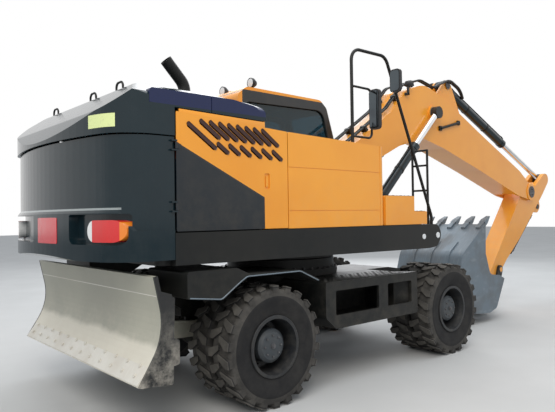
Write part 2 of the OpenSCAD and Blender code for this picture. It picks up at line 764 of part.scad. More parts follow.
// Fuel and oil tank on the right and the air cleaner locker on the left
module side_lockers() {
    color(yellow) at_swing() {
        block([door_front + 10, -1145, 1345], [420, -380, panel_bottom + 5]);
        block([door_front + 10, 380, 1345], [-350, 1145, panel_bottom + 5]);
        difference() {
            intersection() {
                side(-body_half_w, -380) polygon(outline([
                    [door_front + 10, panel_bottom, 0], [door_front + 10, 2425, 10], [420, 2385, 20],
                    [420, panel_bottom, 0]]));
                plan(1500, 2500) polygon(outline([
                    [-1000, -body_half_w, 0], [420, -body_half_w, 60], [420, -380, 20], [-1000, -380, 0]]));
            }
            // Seams between the panels, and the filler's well in the top
            for (z = [1712, 2106]) block([-1000, -body_half_w - 5, z], [340, 5 - body_half_w, z + 6]);
            block([337, -body_half_w - 5, 1500], [343, 5 - body_half_w, 2500]);
            translate([-300, -760, 2330]) cylinder(h = 200, r = 95);
        }
        translate([-300, -760, 2325]) cylinder(h = 55, r = 60);
        side(380, body_half_w) polygon(outline([
            [door_front + 10, panel_bottom, 0], [door_front + 10, 2425, 10], [-350, 2400, 20],
            [-350, panel_bottom, 0]]));
    }
}

module valve_cover() {
    color(black) at_swing() side(-290, 290) polygon(outline([
        [-1150, 1345, 0], [-1150, 2150, 60], [-600, 2200, 100], [-150, 1900, 100], [-60, 1500, 60], [-60, 1345, 0]]));
}

module tool_box() {
    box = outline([
        [430, panel_bottom, 0], [430, 1870, 12], [940, 1870, 12], [940, 1700, 12], [1180, 1700, 12],
        [1180, panel_bottom, 0]
    ]);
    color(yellow) at_swing() {
        side(-body_half_w, -520) polygon(box);
        block([430, -1145, 1345], [1180, -520, panel_bottom + 5]);
    }
}

// Side view of the cab, shrunk by the inset
module cab_profile(inset) {
    polygon(outline([
        [-320 + inset, cab_floor + inset, 30], [-320 + inset, 3130 - inset, 100], [-180, cab_top - inset, 120],
        [1080 - inset, cab_top - 10 - inset, 120], [1200 - inset, 3130 - inset, 100],
        [1345 - inset, 2700, 500], [1400 - inset, 1950, 400], [1290 - inset, cab_floor + inset, 40]
    ]));
}

cab_floor = 1400;
cab_hinge = [125, 1235]; // axis of the cab door's hinges in plan
cab_hinge_z = [1750, 2800];
cab_in = 365;
cab_out = 1215;

module cab_door_profile(inset) {
    polygon(outline([
        [130 + inset, 1480 + inset, 40], [130 + inset, 3110 - inset, 60], [1040 - inset, 3110 - inset, 80],
        [1150 - inset, 3060 - inset, 80], [1270 - inset, 2650, 400], [1310 - inset, 1950, 300],
        [1230 - inset, 1480 + inset, 60]
    ]));
}

module cab_side_window() {
    polygon(outline([
        [-200, 2050, 60], [-200, 3060, 80], [1060, 3090, 80], [1150, 3020, 60], [1250, 2650, 300],
        [1290, 2050, 60]
    ]));
}

module cab() {
    color(yellow) at_swing() difference() {
        union() {
            side(cab_in, cab_out) cab_profile(0);
            translate([-60, 790, cab_top - 10]) cylinder(h = 30, r = 70);
            // Pins of the door's hinges, each between two small plates
            for (z = cab_hinge_z) {
                translate([cab_hinge[0], cab_hinge[1], z - 40]) cylinder(h = 80, r = 8);
                for (low = [z - 44, z + 30])
                    block([60, cab_out - 1, low], [cab_hinge[0] + 7, cab_hinge[1] + 9, low + 14]);
            }
        }
        side(cab_in + cab_wall, cab_out - cab_wall) cab_profile(cab_wall);
        side(cab_in - 10, cab_in + 100) cab_side_window();
        side(cab_out - 100, cab_out + 10) cab_door_profile(0);
        side(cab_out - 100, cab_out + 10) polygon(outline([
            [-230, 2050, 40], [-230, 3060, 60], [70, 3080, 40], [70, 2050, 40]]));
        across(-400, -250) polygon(outline([
            [cab_in + 110, 2350, 50], [cab_out - 110, 2350, 50], [cab_out - 110, 3040, 50], [cab_in + 110, 3040, 50]]));
        across(1150, 1500) polygon(outline([
            [cab_in + 90, 1560, 60], [cab_out - 90, 1560, 60], [cab_out - 90, 3090, 60], [cab_in + 90, 3090, 60]]));
    }
}

module cab_glass() {
    color([0.35, 0.5, 0.5, 0.5]) at_swing() {
        side(cab_in + 24, cab_in + 30) cab_side_window();
        side(cab_out - 30, cab_out - 24) polygon(outline([
            [-230, 2050, 40], [-230, 3060, 60], [70, 3080, 40], [70, 2050, 40]]));
        across(-296, -290) polygon(outline([
            [cab_in + 110, 2350, 50], [cab_out - 110, 2350, 50], [cab_out - 110, 3040, 50], [cab_in + 110, 3040, 50]]));
        intersection() {
            side(cab_in, cab_out) difference() {
                cab_profile(24);
                cab_profile(30);
            }
            across(1100, 1500) polygon(outline([
                [cab_in + 90, 1560, 60], [cab_out - 90, 1560, 60], [cab_out - 90, 3090, 60], [cab_in + 90, 3090, 60]]));
        }
    }
}

module door_window() {
    polygon(outline([
        [200, 1700, 50], [200, 3040, 60], [1020, 3040, 70], [1100, 3000, 60], [1200, 2640, 300],
        [1240, 1950, 300], [1200, 1700, 60]
    ]));
}

module cab_door() {
    color(yellow) at_swing() difference() {
        side(cab_out - cab_wall, cab_out) cab_door_profile(8);
        side(cab_out - 100, cab_out + 10) door_window();
    }
    color(yellow) at_swing() for (z = cab_hinge_z) difference() {
        union() {
            translate([cab_hinge[0], cab_hinge[1], z - 25]) cylinder(h = 50, r = 13);
            block([cab_hinge[0], cab_hinge[1] - 12, z - 25], [190, cab_hinge[1], z + 25]);
            block([150, cab_out - 1, z - 25], [190, cab_hinge[1] - 5, z + 25]);
        }
        translate([cab_hinge[0], cab_hinge[1], z - 30]) cylinder(h = 60, r = 8 + fit);
    }
    // Grip on two feet
    color(yellow) at_swing() {
        for (z = [1610, 1660]) block([1080, cab_out - 1, z], [1100, cab_out + 16, z + 12]);
        block([1078, cab_out + 12, 1600], [1102, cab_out + 22, 1682]);
    }
}

module door_glass() {
    color([0.35, 0.5, 0.5, 0.5]) at_swing() side(cab_out - 30, cab_out - 24) door_window();
}

module operator_seat() {
    middle = (cab_in + cab_out) / 2;
    color("#2d2f33") at_swing() translate([0, middle, 0]) {
        block([80, -170, cab_floor + cab_wall], [480, 170, 1740]);
        side(-240, 240) polygon(outline([
            [40, 1760, 40], [-20, 2400, 45], [90, 2420, 45], [200, 1900, 60], [560, 1890, 50], [580, 1760, 40],
            [540, 1700, 20], [60, 1700, 20]]));
        side(-130, 130) polygon(outline([[5, 2350, 0], [-30, 2620, 40], [70, 2630, 40], [65, 2350, 0]]));
        both_sides() block([0, 235, cab_floor + cab_wall], [620, 340, 2020]);
    }
}

module cab_controls() {
    middle = (cab_in + cab_out) / 2;
    color(black) at_swing() translate([0, middle, 0]) {
        translate([960, 0, cab_floor + cab_wall]) cylinder(h = 14, r = 70);
        translate([960, 0, cab_floor + cab_wall]) rotate([0, 12, 0]) {
            translate([0, 0, 10]) cylinder(h = 630, r = 45);
            translate([0, 0, 640]) rotate_extrude() translate([170, 0]) circle(r = 16);
            translate([0, 0, 640]) block([-170, -16, -12], [170, 16, 12]);
        }
        block([1060, -260, cab_floor + cab_wall], [1160, -130, 1620]);
        block([1060, 130, cab_floor + cab_wall], [1160, 260, 1620]);
        both_sides() translate([560, 300, 2020]) cylinder(h = 180, r = 22);
    }
}

module work_lamps() {
    // Rows of [radius, distance towards the rear, corner radius] of a lamp's housing and its recessed lens
    housing = outline([
        [0, -60, 0], [32, -60, 12], [62, -10, 10], [62, 26, 0], [54, 26, 0], [54, 18, 0], [0, 18, 0]]);
    color(black) at_swing() for (y = [430, 1020]) {
        translate([-50, y, cab_top + 70]) rotate([0, -90, 0]) rotate_extrude() polygon(housing);
        translate([-40, y, cab_top - 0.8]) cylinder(h = 40, r = 12);
    }
}

module handrails() {
    color(black) at_swing() {
        translate([0, -1130, 0]) rotate([90, 0, 0])
            bent_tube([[20, 2400, 0], [20, 3390, 130], [580, 3400, 130], [1405, 1640, 200], [1405, 1348, 0]], rail_r);
        translate([0, -1130, 0]) rotate([90, 0, 0])
            bent_tube([[20, 3000, 0], [330, 3000, 60], [330, 2480, 60], [20, 2480, 0]], 12);
        // Brackets of the mirrors
        block([300, -1200, 2700], [338, -1124, 2740]);
        block([660, -1200, 3120], [712, -1124, 3150]);
        for (y = [-1085, -875]) translate([1405, y, 1345]) cylinder(h = 1095, r = 14);
        for (z = [1650, 1950, 2250, 2430]) bar_y([1405, z], -1085, -875, 12);
    }
}

module mirrors() {
    color(black) at_swing() {
        across(260, 300) polygon(outline([
            [-1290, 2560, 40], [-1155, 2560, 40], [-1155, 2980, 40], [-1290, 2980, 40]]));
        across(620, 660) polygon(outline([
            [-1290, 3000, 40], [-1155, 3000, 40], [-1155, 3250, 40], [-1290, 3250, 40]]));
    }
}

// Boom side profile as rows of [x, z, corner radius]
boom_rows = [
    [240, 1960, 0], [420, 2130, 60], [900, 2440, 400], [1880, 3080, 300], [2250, 3440, 300], [2650, 3560, 500],
    [3120, 3450, 400], [4170, 3000, 900], [5580, 2420, 400], [5950, 2200, 0], [6000, 1900, 0],
    [5500, 1980, 400], [4200, 2370, 900], [3150, 2660, 400], [2620, 2770, 300], [2050, 2620, 400],
    [1600, 2420, 600], [420, 1800, 60]
];

module boom() {
    bracket = outline([
        [3080, 3440, 0], [3370, 3730, 90], [3450, 3780, 90], [3540, 3720, 90], [3900, 3080, 0]
    ]);
    color(yellow) at_swing() {
        difference() {
            union() {
                side(-boom_half_w, boom_half_w) polygon(outline(boom_rows));
                bar_y(boom_foot, -290, 290, 165);
                bar_y(boom_tip, -boom_half_w - 15, boom_half_w + 15, 155);
                bar_y(boom_cyl_eye, -boom_half_w - 24, boom_half_w + 24, 110);
            }
            bar_y(boom_foot, -300, 300, 60);
            side(-176, 176) polygon([[5420, 1700], [5420, 2300], [5560, 2700], [6400, 2700], [6400, 1700]]);
        }
        both_sides() side(72, 102) polygon(bracket);
        bar_y(arm_cyl_base, -110, 110, arm_cyl[5]);
        bar_y(boom_tip, -boom_half_w, boom_half_w, 50);
    }
}

// How far each pipe clamp reaches down to the boom's top
clamp_foot = [-60, -60, -60];

module boom_pipes() {
    route = [
        [700, 2395, 0], [900, 2520, 300], [1840, 3130, 200], [2210, 3500, 250], [2640, 3640, 300],
        [3020, 3570, 0]
    ];
    color(black) at_swing() {
        for (y = [-160, -115, 115, 160]) translate([0, y, 0]) rotate([90, 0, 0]) bent_tube(route, 14);
        for (i = [1:3], s = [-1, 1]) {
            middle = [(route[i][0] + route[i + 1][0]) / 2, (route[i][1] + route[i + 1][1]) / 2];
            posed(middle, atan2(route[i + 1][1] - route[i][1], route[i + 1][0] - route[i][0]))
                block([-22, s * 137 - 42, clamp_foot[i - 1]], [22, s * 137 + 42, 20]);
        }
    }
}

boom_cyl_angle = atan2(boom_cyl_eye[1] - boom_cyl_base[1], boom_cyl_eye[0] - boom_cyl_base[0]);
arm_cyl_angle = atan2(arm_tail[1] - arm_cyl_base[1], arm_tail[0] - arm_cyl_base[0]);
bucket_cyl_angle = atan2(rocker_end[1] - bucket_cyl_base[1], rocker_end[0] - bucket_cyl_base[0]);

module boom_barrels() {
    color(navy) at_swing() both_sides() translate([0, boom_cyl_y, 0])
        posed(boom_cyl_base, boom_cyl_angle) barrel(boom_cyl, boom_eye_half);
}

module boom_rods() {
    color(chrome) at_swing() both_sides() translate([0, boom_cyl_y, 0])
        posed(boom_cyl_base, boom_cyl_angle) rod(boom_cyl, norm(boom_cyl_eye - boom_cyl_base), boom_eye_half);
}

module arm_barrel() {
    color(navy) at_swing() posed(arm_cyl_base, arm_cyl_angle) barrel(arm_cyl, 62);
}

module arm_rod() {
    color(chrome) at_swing() posed(arm_cyl_base, arm_cyl_angle) rod(arm_cyl, norm(arm_tail - arm_cyl_base), 62);
}

// Children drawn in the arm's own side view
module on_the_arm() {
    at_swing() posed(boom_tip, arm_angle) children();
}

module arm() {
    shape = outline([
        [arm_length + 100, -60, 60], [arm_length + 100, 60, 60], [arm_length - 60, 115, 60], [1450, 195, 600],
        [840, 325, 600], [250, 395, 400], [-380, 470, 200], [-760, 490, 100], [-850, 380, 100], [-760, 265, 100],
        [-250, 130, 200], [-120, -120, 130], [60, -170, 100], [1000, -140, 600], [arm_length, -100, 60]
    ]);
    color(yellow) on_the_arm() {
        difference() {
            union() {
                side(-arm_half_w, arm_half_w) polygon(shape);
                bar_y([0, 0], -168, 168, 150);
            }
            bar_y([0, 0], -300, 300, 50 + fit);
            bar_y([arm_length, 0], -300, 300, 45 + fit);
            side(-76, 76) polygon([[-1000, 0], [-430, 180], [-430, 600], [-1000, 600]]);
        }
        both_sides() side(68, 96) polygon(outline([
            [-330, 440, 0], [-230, 640, 90], [-70, 640, 90], [120, 400, 0]]));
        bar_y(bucket_cyl_base, -100, 100, bucket_cyl[5]);
        bar_y(rocker_pivot, -206, 206, 40);
        bar_y(pin_on_arm, 72, arm_half_w, 46);
        bar_y(pin_on_arm, -arm_half_w, -72, 46);
    }
}

module bucket_barrel() {
    color(navy) on_the_arm() posed(bucket_cyl_base, bucket_cyl_angle) barrel(bucket_cyl, 56);
}

module bucket_rod() {
    color(chrome) on_the_arm() posed(bucket_cyl_base, bucket_cyl_angle)
        rod(bucket_cyl, norm(rocker_end - bucket_cyl_base), 52);
}

module rockers() {
    color(black) on_the_arm() both_sides() difference() {
        union() {
            side(162, 196) hull() {
                translate(rocker_pivot) circle(r = 72);
                translate(rocker_end) circle(r = 64);
            }
            bar_y(rocker_end, 64, 196, 34);
        }
        bar_y(rocker_pivot, 100, 300, 40 + fit);
    }
}

module push_link() {
    // Half the width of the link at the rocker end and at the bucket end
    narrow = 150;
    wide = 196;
    along = link_pin - rocker_end;
    color(black) on_the_arm() posed(rocker_end, atan2(along[1], along[0])) difference() {
        union() {
            both_sides() side(72, narrow) polygon(outline([
                [-62, -62, 50], [-62, 62, 50], [norm(along), 55, 50], [norm(along), -55, 50]]));
            block([230, -narrow, -50], [norm(along), narrow, 50]);
            bar_y([norm(along), 0], -wide, wide, 66);
            side(-15, 15) polygon(outline([[270, 40, 0], [270, 150, 50], [370, 150, 50], [370, 40, 0]]));
        }
        bar_y([0, 0], -300, 300, 34 + fit);
        bar_y([320, 100], -30, 30, lifting_r);
    }
}

// Bucket profile as drawn in its parked pose, rows of [x, z, corner radius]
bucket_outside = [
    [3700, 1500, 0], [3290, 1235, 300], [3050, 1080, 200], [2945, 780, 260], [3030, 400, 260],
    [3380, 165, 260], [3800, 135, 120], [4010, 190, 80], [4270, 620, 0], [4220, 650, 0],
    [3960, 250, 60], [3790, 168, 100], [3390, 198, 240], [3058, 415, 240], [2978, 780, 240],
    [3076, 1060, 180], [3310, 1205, 280], [3720, 1465, 0]
];
bucket_cheek = [
    [3712, 1482, 0], [3300, 1220, 300], [3060, 1075, 200], [2960, 780, 260], [3040, 410, 260],
    [3385, 180, 260], [3800, 150, 120], [4000, 205, 80], [4260, 620, 30], [4120, 690, 60],
    [3830, 720, 100], [3700, 1050, 100]
];

wear_strap = [
    [3300, 1220, 0], [3063, 1070, 190], [2961, 780, 250], [3044, 407, 250], [3385, 181, 250], [3700, 158, 0],
    [3700, 126, 0], [3376, 151, 272], [3019, 393, 272], [2931, 779, 272], [3038, 1090, 212], [3283, 1247, 0]
];

module bucket() {
    half = bucket_w / 2;
    ear = outline([
        [4030, 240, 0], [4200, 60, 60], [4330, 80, 60], [4600, 400, 90], [4540, 540, 90],
        [4400, 560, 60], [4250, 640, 0]
    ]);
    floor_angle = atan2(265, 410);
    ear_in = 206;
    ear_out = 252;
    color("#5b6b78") at_swing() {
        side(-half + 1, half - 1) polygon(outline(bucket_outside));
        both_sides() side(half - 25, half) polygon(outline(bucket_cheek));
        both_sides() difference() {
            side(ear_in, ear_out) polygon(ear);
            bar_y(bucket_pin, 0, 400, 45);
            bar_y(bucket_link_pin, 0, 400, 40);
        }
        both_sides() bar_y(bucket_link_pin, ear_in - 4, ear_out + 8, 40);
        bar_y(bucket_pin, -ear_out - 8, ear_out + 8, 45);
        for (i = [0:teeth - 1]) translate([3700, -half + 60 + i * (bucket_w - 120) / (teeth - 1), 1490])
            rotate([0, -floor_angle, 0]) {
                // Adapter that grips the lip, then the point on it
                side(-36, 36) polygon([[-160, -46], [-20, -42], [80, -24], [80, 24], [-20, 40], [-120, 36]]);
                intersection() {
                    side(-60, 60) polygon([[30, -40], [100, -38], [240, -10], [240, 4], [100, 34], [30, 36]]);
                    plan(-60, 60) polygon([[30, -46], [110, -44], [240, -30], [240, 30], [110, 44], [30, 46]]);
                }
            }
        // Wear straps round the back
        for (y = [-300, 0, 300]) side(y - 40, y + 40) polygon(outline(wear_strap));
    }
}
bucket_link_pin = on_arm(link_pin);

chassis();
side_steps();
fenders();
front_axle();
rear_axle();
driveline();
blade();
blade_barrels();
blade_rods();
knuckle(1);  // left_knuckle
knuckle(-1);  // right_knuckle
tyre_pair(front_hub, 1);  // front_left_tyres
rim_pair(front_hub, 1);  // front_left_rims
tyre_pair(front_hub, -1);  // front_right_tyres
rim_pair(front_hub, -1);  // front_right_rims
tyre_pair(rear_hub, 1);  // rear_left_tyres
rim_pair(rear_hub, 1);  // rear_left_rims
tyre_pair(rear_hub, -1);  // rear_right_tyres
rim_pair(rear_hub, -1);  // rear_right_rims
swing_frame();
side_skirts();
counterweight();
tail_lamps();
engine();
hood();
hood_front();
hood_handles();
exhaust();
pump_door();
radiator_door();
side_lockers();
valve_cover();
tool_box();
cab();
cab_glass();
cab_door();
door_glass();
operator_seat();
cab_controls();
work_lamps();
handrails();
mirrors();
boom();
boom_pipes();
boom_barrels();
boom_rods();
arm_barrel();
arm_rod();
arm();
bucket_barrel();
bucket_rod();
rockers();
push_link();
bucket();
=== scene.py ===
import math
import bpy
import bmesh
from mathutils import Matrix, Vector


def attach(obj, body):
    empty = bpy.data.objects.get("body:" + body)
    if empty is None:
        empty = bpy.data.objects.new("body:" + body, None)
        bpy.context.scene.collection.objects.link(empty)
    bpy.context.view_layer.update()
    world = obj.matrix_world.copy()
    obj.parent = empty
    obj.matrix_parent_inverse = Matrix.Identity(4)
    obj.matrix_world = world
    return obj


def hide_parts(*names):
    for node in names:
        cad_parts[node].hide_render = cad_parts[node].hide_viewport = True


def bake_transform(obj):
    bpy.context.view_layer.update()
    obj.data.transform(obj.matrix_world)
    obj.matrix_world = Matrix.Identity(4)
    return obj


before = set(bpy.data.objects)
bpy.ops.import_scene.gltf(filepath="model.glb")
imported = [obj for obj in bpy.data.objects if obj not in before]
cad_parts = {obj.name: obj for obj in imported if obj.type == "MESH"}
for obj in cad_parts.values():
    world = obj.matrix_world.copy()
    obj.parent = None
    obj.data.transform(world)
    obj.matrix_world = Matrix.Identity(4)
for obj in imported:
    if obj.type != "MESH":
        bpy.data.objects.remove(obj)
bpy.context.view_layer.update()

swingX = -2.065  # the swing axis; the points below are measured from it, in metres
scene = bpy.context.scene


def fromSwing(x, y, z):
    return Vector((x + swingX, y, z))


# camera, lamps and sky
cameraView = {
    "place": fromSwing(-4.354, -4.960, 1.667),
    "yaw": 48.929, "pitch": 1.037, "roll": -0.810,  # degrees
    "focalPixels": 561.8, "imageWidth": 555.0,
}


def makeCamera(view):
    yaw, pitch, roll = (math.radians(view[k]) for k in ("yaw", "pitch", "roll"))
    ahead = Vector((math.cos(pitch) * math.cos(yaw), math.cos(pitch) * math.sin(yaw), math.sin(pitch)))
    level = Vector((math.sin(yaw), -math.cos(yaw), 0))
    up = level.cross(ahead)
    right = level * math.cos(roll) + up * math.sin(roll)
    above = up * math.cos(roll) - level * math.sin(roll)
    data = bpy.data.cameras.new("photoCamera")
    data.sensor_width = 36
    data.lens = view["focalPixels"] / view["imageWidth"] * 36
    data.clip_end = 200
    camera = bpy.data.objects.new("photoCamera", data)
    scene.collection.objects.link(camera)
    turned = Matrix((right, above, -ahead)).transposed().to_4x4()
    camera.matrix_world = Matrix.Translation(view["place"]) @ turned
    scene.camera = camera


makeCamera(cameraView)

lampSettings = [
    # name, place from the swing axis, aimed at, side length, power, colour
    ("keyLamp", (-9.0, -9.0, 11.0), (0, 0, 1.5), 9.0, 1350, (1.0, 0.97, 0.92)),
    ("skyLamp", (2.0, 0.0, 14.0), (1, 0, 0.5), 14.0, 1100, (0.94, 0.97, 1.0)),
    ("fillLamp", (9.0, 9.0, 7.0), (0, 0, 1.5), 9.0, 600, (0.95, 0.97, 1.0)),
]


def makeLamps(settings):
    for name, place, aim, side, power, colour in settings:
        data = bpy.data.lights.new(name, "AREA")
        data.shape, data.size, data.energy, data.color = "SQUARE", side, power, colour
        lamp = bpy.data.objects.new(name, data)
        scene.collection.objects.link(lamp)
        start = fromSwing(*place)
        lamp.location = start
        lamp.rotation_euler = (fromSwing(*aim) - start).to_track_quat("-Z", "Y").to_euler()


makeLamps(lampSettings)


scene.view_settings.view_transform = "Standard"


class Tree:
    # the nodes of a material or of the sky, and short ways to add to them
    def __init__(self, owner):
        owner.use_nodes = True
        self.nodes, self.links = owner.node_tree.nodes, owner.node_tree.links

    def fill(self, node, sockets):
        # each socket takes a value, a colour or the output of another node
        for name, value in sockets.items():
            socket = node.inputs[name]
            if isinstance(value, bpy.types.NodeSocket):
                self.links.new(value, socket)
            else:
                socket.default_value = (*value, 1) if socket.type == "RGBA" else value

    def add(self, kind, sockets, output=0, **settings):
        node = self.nodes.new("ShaderNode" + kind)
        for name, value in settings.items():
            setattr(node, name, value)
        self.fill(node, sockets)
        return node.outputs[output]

    def maths(self, operation, a, b=0.0, clamp=False):
        return self.add("Math", {0: a, 1: b}, operation=operation, use_clamp=clamp)


skyShades = [((0.86, 0.92, 1.0), 0.62), ((1, 1, 1), 1.0)]  # colour and power of the light, then of the view


def makeSky(shades):
    # the camera and mirrors see plain white, everything else is lit by a softer grey sky
    scene.world = bpy.data.worlds.new("studioWorld")
    tree = Tree(scene.world)
    tree.nodes.remove(tree.nodes["Background"])
    rays = tree.nodes.new("ShaderNodeLightPath").outputs
    seen = tree.maths("MAXIMUM", rays["Is Camera Ray"], rays["Is Transmission Ray"])
    seen = tree.maths("MAXIMUM", seen, rays["Is Glossy Ray"])
    dim, white = (tree.add("Background", {"Color": colour, "Strength": power}) for colour, power in shades)
    tree.fill(tree.nodes["World Output"], {"Surface": tree.add("MixShader", {"Fac": seen, 1: dim, 2: white})})


makeSky(skyShades)


class Paint(Tree):
    def __init__(self, name, roughness=0.5, metallic=0.0, coat=0.0, coatRoughness=0.1, ior=1.5, shine=0.5, clear=0.0):
        self.material = bpy.data.materials.new(name)
        super().__init__(self.material)
        self.place = self.nodes.new("ShaderNodeTexCoord").outputs["Object"]
        self.surface({
            "Roughness": roughness, "Metallic": metallic, "Coat Weight": coat, "Coat Roughness": coatRoughness,
            "IOR": ior, "Specular IOR Level": shine, "Transmission Weight": clear})

    def surface(self, sockets, grain=None):
        # grain is the scale, detail, strength and depth of fine bumps
        self.fill(self.nodes["Principled BSDF"], sockets)
        if grain:
            self.bump(self.noise(*grain[:2]), *grain[2:])
        return self.material

    def noise(self, scale, detail=4.0, stretch=(1, 1, 1), rough=0.55):
        place = self.add("Mapping", {"Scale": stretch, "Vector": self.place})
        return self.add("TexNoise", {"Scale": scale, "Detail": detail, "Roughness": rough, "Vector": place}, "Fac")

    def ramp(self, value, low, high, start=0.0, end=1.0):
        return self.add("MapRange", {"From Min": low, "From Max": high, "To Min": start, "To Max": end, "Value": value})

    def axis(self, which):
        return self.add("SeparateXYZ", {0: self.place}, which)

    def below(self, value, limit):
        return self.maths("LESS_THAN", value, limit)

    def within(self, value, low, high):
        # 1 between the two values and 0 outside them
        return self.both(self.maths("GREATER_THAN", value, low), self.below(value, high))

    def both(self, *masks):
        found = masks[0]
        for mask in masks[1:]:
            found = self.maths("MULTIPLY", found, mask)
        return found

    def aside(self):
        return self.maths("ABSOLUTE", self.axis(1))

    def zone(self, ranges):
        # 1 where each named measure lies in its range; x is measured from the swing axis
        masks = []
        for name, (low, high) in ranges.items():
            shift = swingX if name == "x" else 0.0
            value = self.aside() if name == "aside" else self.axis("xyz".index(name))
            masks.append(self.within(value, low + shift, high + shift))
        return self.both(*masks)

    def fromHub(self, hub):
        # distance from a wheel's axis
        x = self.maths("SUBTRACT", self.axis(0), hub[0] + swingX)
        z = self.maths("SUBTRACT", self.axis(2), hub[1])
        return self.maths("SQRT", self.maths("ADD", self.both(x, x), self.both(z, z)))

    def mix(self, factor, a, b):
        return self.add("Mix", {"Factor": factor, 6: a, 7: b}, 2, data_type="RGBA")

    def patches(self, scale, detail, low, high, a, b):
        # two shades in soft patches
        return self.mix(self.ramp(self.noise(scale, detail), low, high), a, b)

    def bump(self, height, strength, distance):
        return self.surface({
            "Normal": self.add("Bump", {"Strength": strength, "Distance": distance, "Height": height})})


paintLooks = {
    # colour, its darker shade, dust colour, heights between which the dust fades, most dust, roughness, coat, shine
    "yellowPaint": ((0.86, 0.345, 0.028), (0.80, 0.30, 0.022), (0.55, 0.38, 0.2), 0.4, 2.2, 0.30, 0.32, 0.3, 0.4),
    "sideDoorPaint": ((0.86, 0.345, 0.028), (0.80, 0.30, 0.022), (0.40, 0.30, 0.18), 1.2, 2.0, 0.07, 0.28, 0.3, 0.36),
    "tailPaint": ((0.006, 0.017, 0.023), (0.005, 0.014, 0.019), (0.13, 0.125, 0.11), 1.1, 1.7, 0.05, 0.13, 0.0, 0.36),
    "blackPaint": ((0.009, 0.010, 0.010), (0.014, 0.014, 0.013), (0.14, 0.125, 0.10), 0.2, 1.4, 0.36, 0.42, 0.0, 0.24),
    "rimPaint": (
        (0.018, 0.020, 0.023), (0.013, 0.014, 0.016), (0.16, 0.145, 0.12), 0.0, 1.2, 0.35, 0.45, 0.0, 0.4),
    "bladePaint": ((0.42, 0.41, 0.335), (0.36, 0.35, 0.29), (0.66, 0.61, 0.52), 0.25, 1.0, 0.85, 0.5, 0.0, 0.4),
}
navyBlue = (0.008, 0.015, 0.062)
fieldDark = (0.002, 0.006, 0.010)
darkTrim = (0.012, 0.013, 0.014)
farAway = 99.0
paintZones = {
    # colour, then ranges of x from the swing axis, y, the distance from the middle, and the height
    "tailPaint": [
        # the strip along both edges of the hood, then a painted highlight along the ledge
        (navyBlue, {"x": (-2.3385, farAway), "aside": (1.1495, farAway), "z": (2.5285, 2.65)}),
        ((0.26, 0.29, 0.29), {"x": (-farAway, -2.30), "aside": (-farAway, 1.11), "z": (1.730, 1.746)}),
    ],
    "cabPaint": [
        # round the right window, round the window behind the door, the front, the inside
        (darkTrim, {"x": (-0.25, 1.5), "y": (-farAway, 0.4195), "z": (2.0, 3.20)}),
        (darkTrim, {"x": (-0.25, 0.128), "y": (1.161, farAway), "z": (2.0, 3.10)}),
        (darkTrim, {"x": (1.13, farAway), "z": (1.50, 3.17)}),
        ((0.035, 0.036, 0.038), {"x": (-0.268, 1.13), "y": (0.4192, 1.1608), "z": (1.453, 3.186)}),
    ],
}
doorField = {
    # x and z of the dark field's upper edge, width of the line along it, the slots' depths and the colour of the shade
    # painted in them
    "rearHigh": (-2.13, 2.24), "frontHigh": (-1.24, 1.816), "line": 0.016,
    "slots": {"aside": (1.196, 1.2186), "z": (2.12, farAway)}, "slotShadeColour": (0.05, 0.012, 0.008),
}
bladeField = {
    "fade": (0.74, 0.69), "most": 0.92, "pale": (0.70, 0.66, 0.56), "face": {"x": (-farAway, -2.185)},
    "cheeks": {"aside": (1.2288, farAway)},
}


class DustyPaint(Paint):
    def __init__(self, name, look=None):
        *self.shades, coat, shine = paintLooks[look or name]
        super().__init__(name, coat=coat, coatRoughness=0.12, shine=shine)

    def dusty(self, extra):
        # gloss paint with a slow change of shade, other colours inside masks, and fine dust towards the ground
        base, dusk, dust, low, high, most, roughness = self.shades
        colour = self.patches(1.3, 3, 0.35, 0.68, base, dusk)
        for mask, other in extra:
            colour = self.mix(mask, colour, other)
        fading = self.ramp(self.axis(2), low, high, most, 0.02)
        speckle = self.ramp(self.noise(9.0, 8, rough=0.7), 0.42, 0.72)
        streaks = self.ramp(self.noise(6.0, 5, stretch=(1.0, 1.0, 0.12)), 0.5, 0.75)
        cover = self.both(fading, self.maths("ADD", speckle, self.maths("MULTIPLY", streaks, 0.4), clamp=True))
        return self.surface({
            "Base Color": self.mix(cover, colour, dust), "Roughness": self.ramp(cover, 0.0, 0.6, roughness, 0.85)},
            (140.0, 2, 0.05, 0.0005))


def zonedPaint(name, look=None):
    paint = DustyPaint(name, look)
    return paint.dusty([(paint.zone(ranges), colour) for colour, ranges in paintZones.get(name, [])])


def doorPaint(field):
    # yellow doors whose lower rear field is dark, with shade painted dark red-brown in the depths of the cooling slots
    paint = DustyPaint("sideDoorPaint")
    (rearX, rearZ), (frontX, frontZ) = field["rearHigh"], field["frontHigh"]
    fall = (frontZ - rearZ) / (frontX - rearX)
    level = rearZ - fall * (rearX + swingX)
    height = paint.maths("SUBTRACT", paint.axis(2), paint.maths("MULTIPLY", paint.axis(0), fall))
    behind = paint.below(paint.axis(0), frontX + swingX)
    line, dark = (paint.both(paint.below(height, level + above), behind) for above in (field["line"], 0.0))
    return paint.dusty([(line, darkTrim), (dark, fieldDark), (paint.zone(field["slots"]), field["slotShadeColour"])])


def bladePaint(field):
    # grey face worn to a pale field at its foot, dark cheeks
    paint = DustyPaint("bladePaint")
    level = paint.maths("ADD", paint.axis(2), paint.ramp(paint.noise(3.0, 4), 0.3, 0.7, -0.02, 0.02))
    worn = paint.both(paint.ramp(level, *field["fade"], 0.0, field["most"]), paint.zone(field["face"]))
    return paint.dusty([(worn, field["pale"]), (paint.zone(field["cheeks"]), darkTrim)])


def rimPaint(name, hub, cap=0.152, capColour=(0.040, 0.048, 0.056)):
    # dark disc, blue-grey hub cap
    paint = DustyPaint(name, "rimPaint")
    return paint.dusty([(paint.below(paint.fromHub(hub), cap), capColour)])


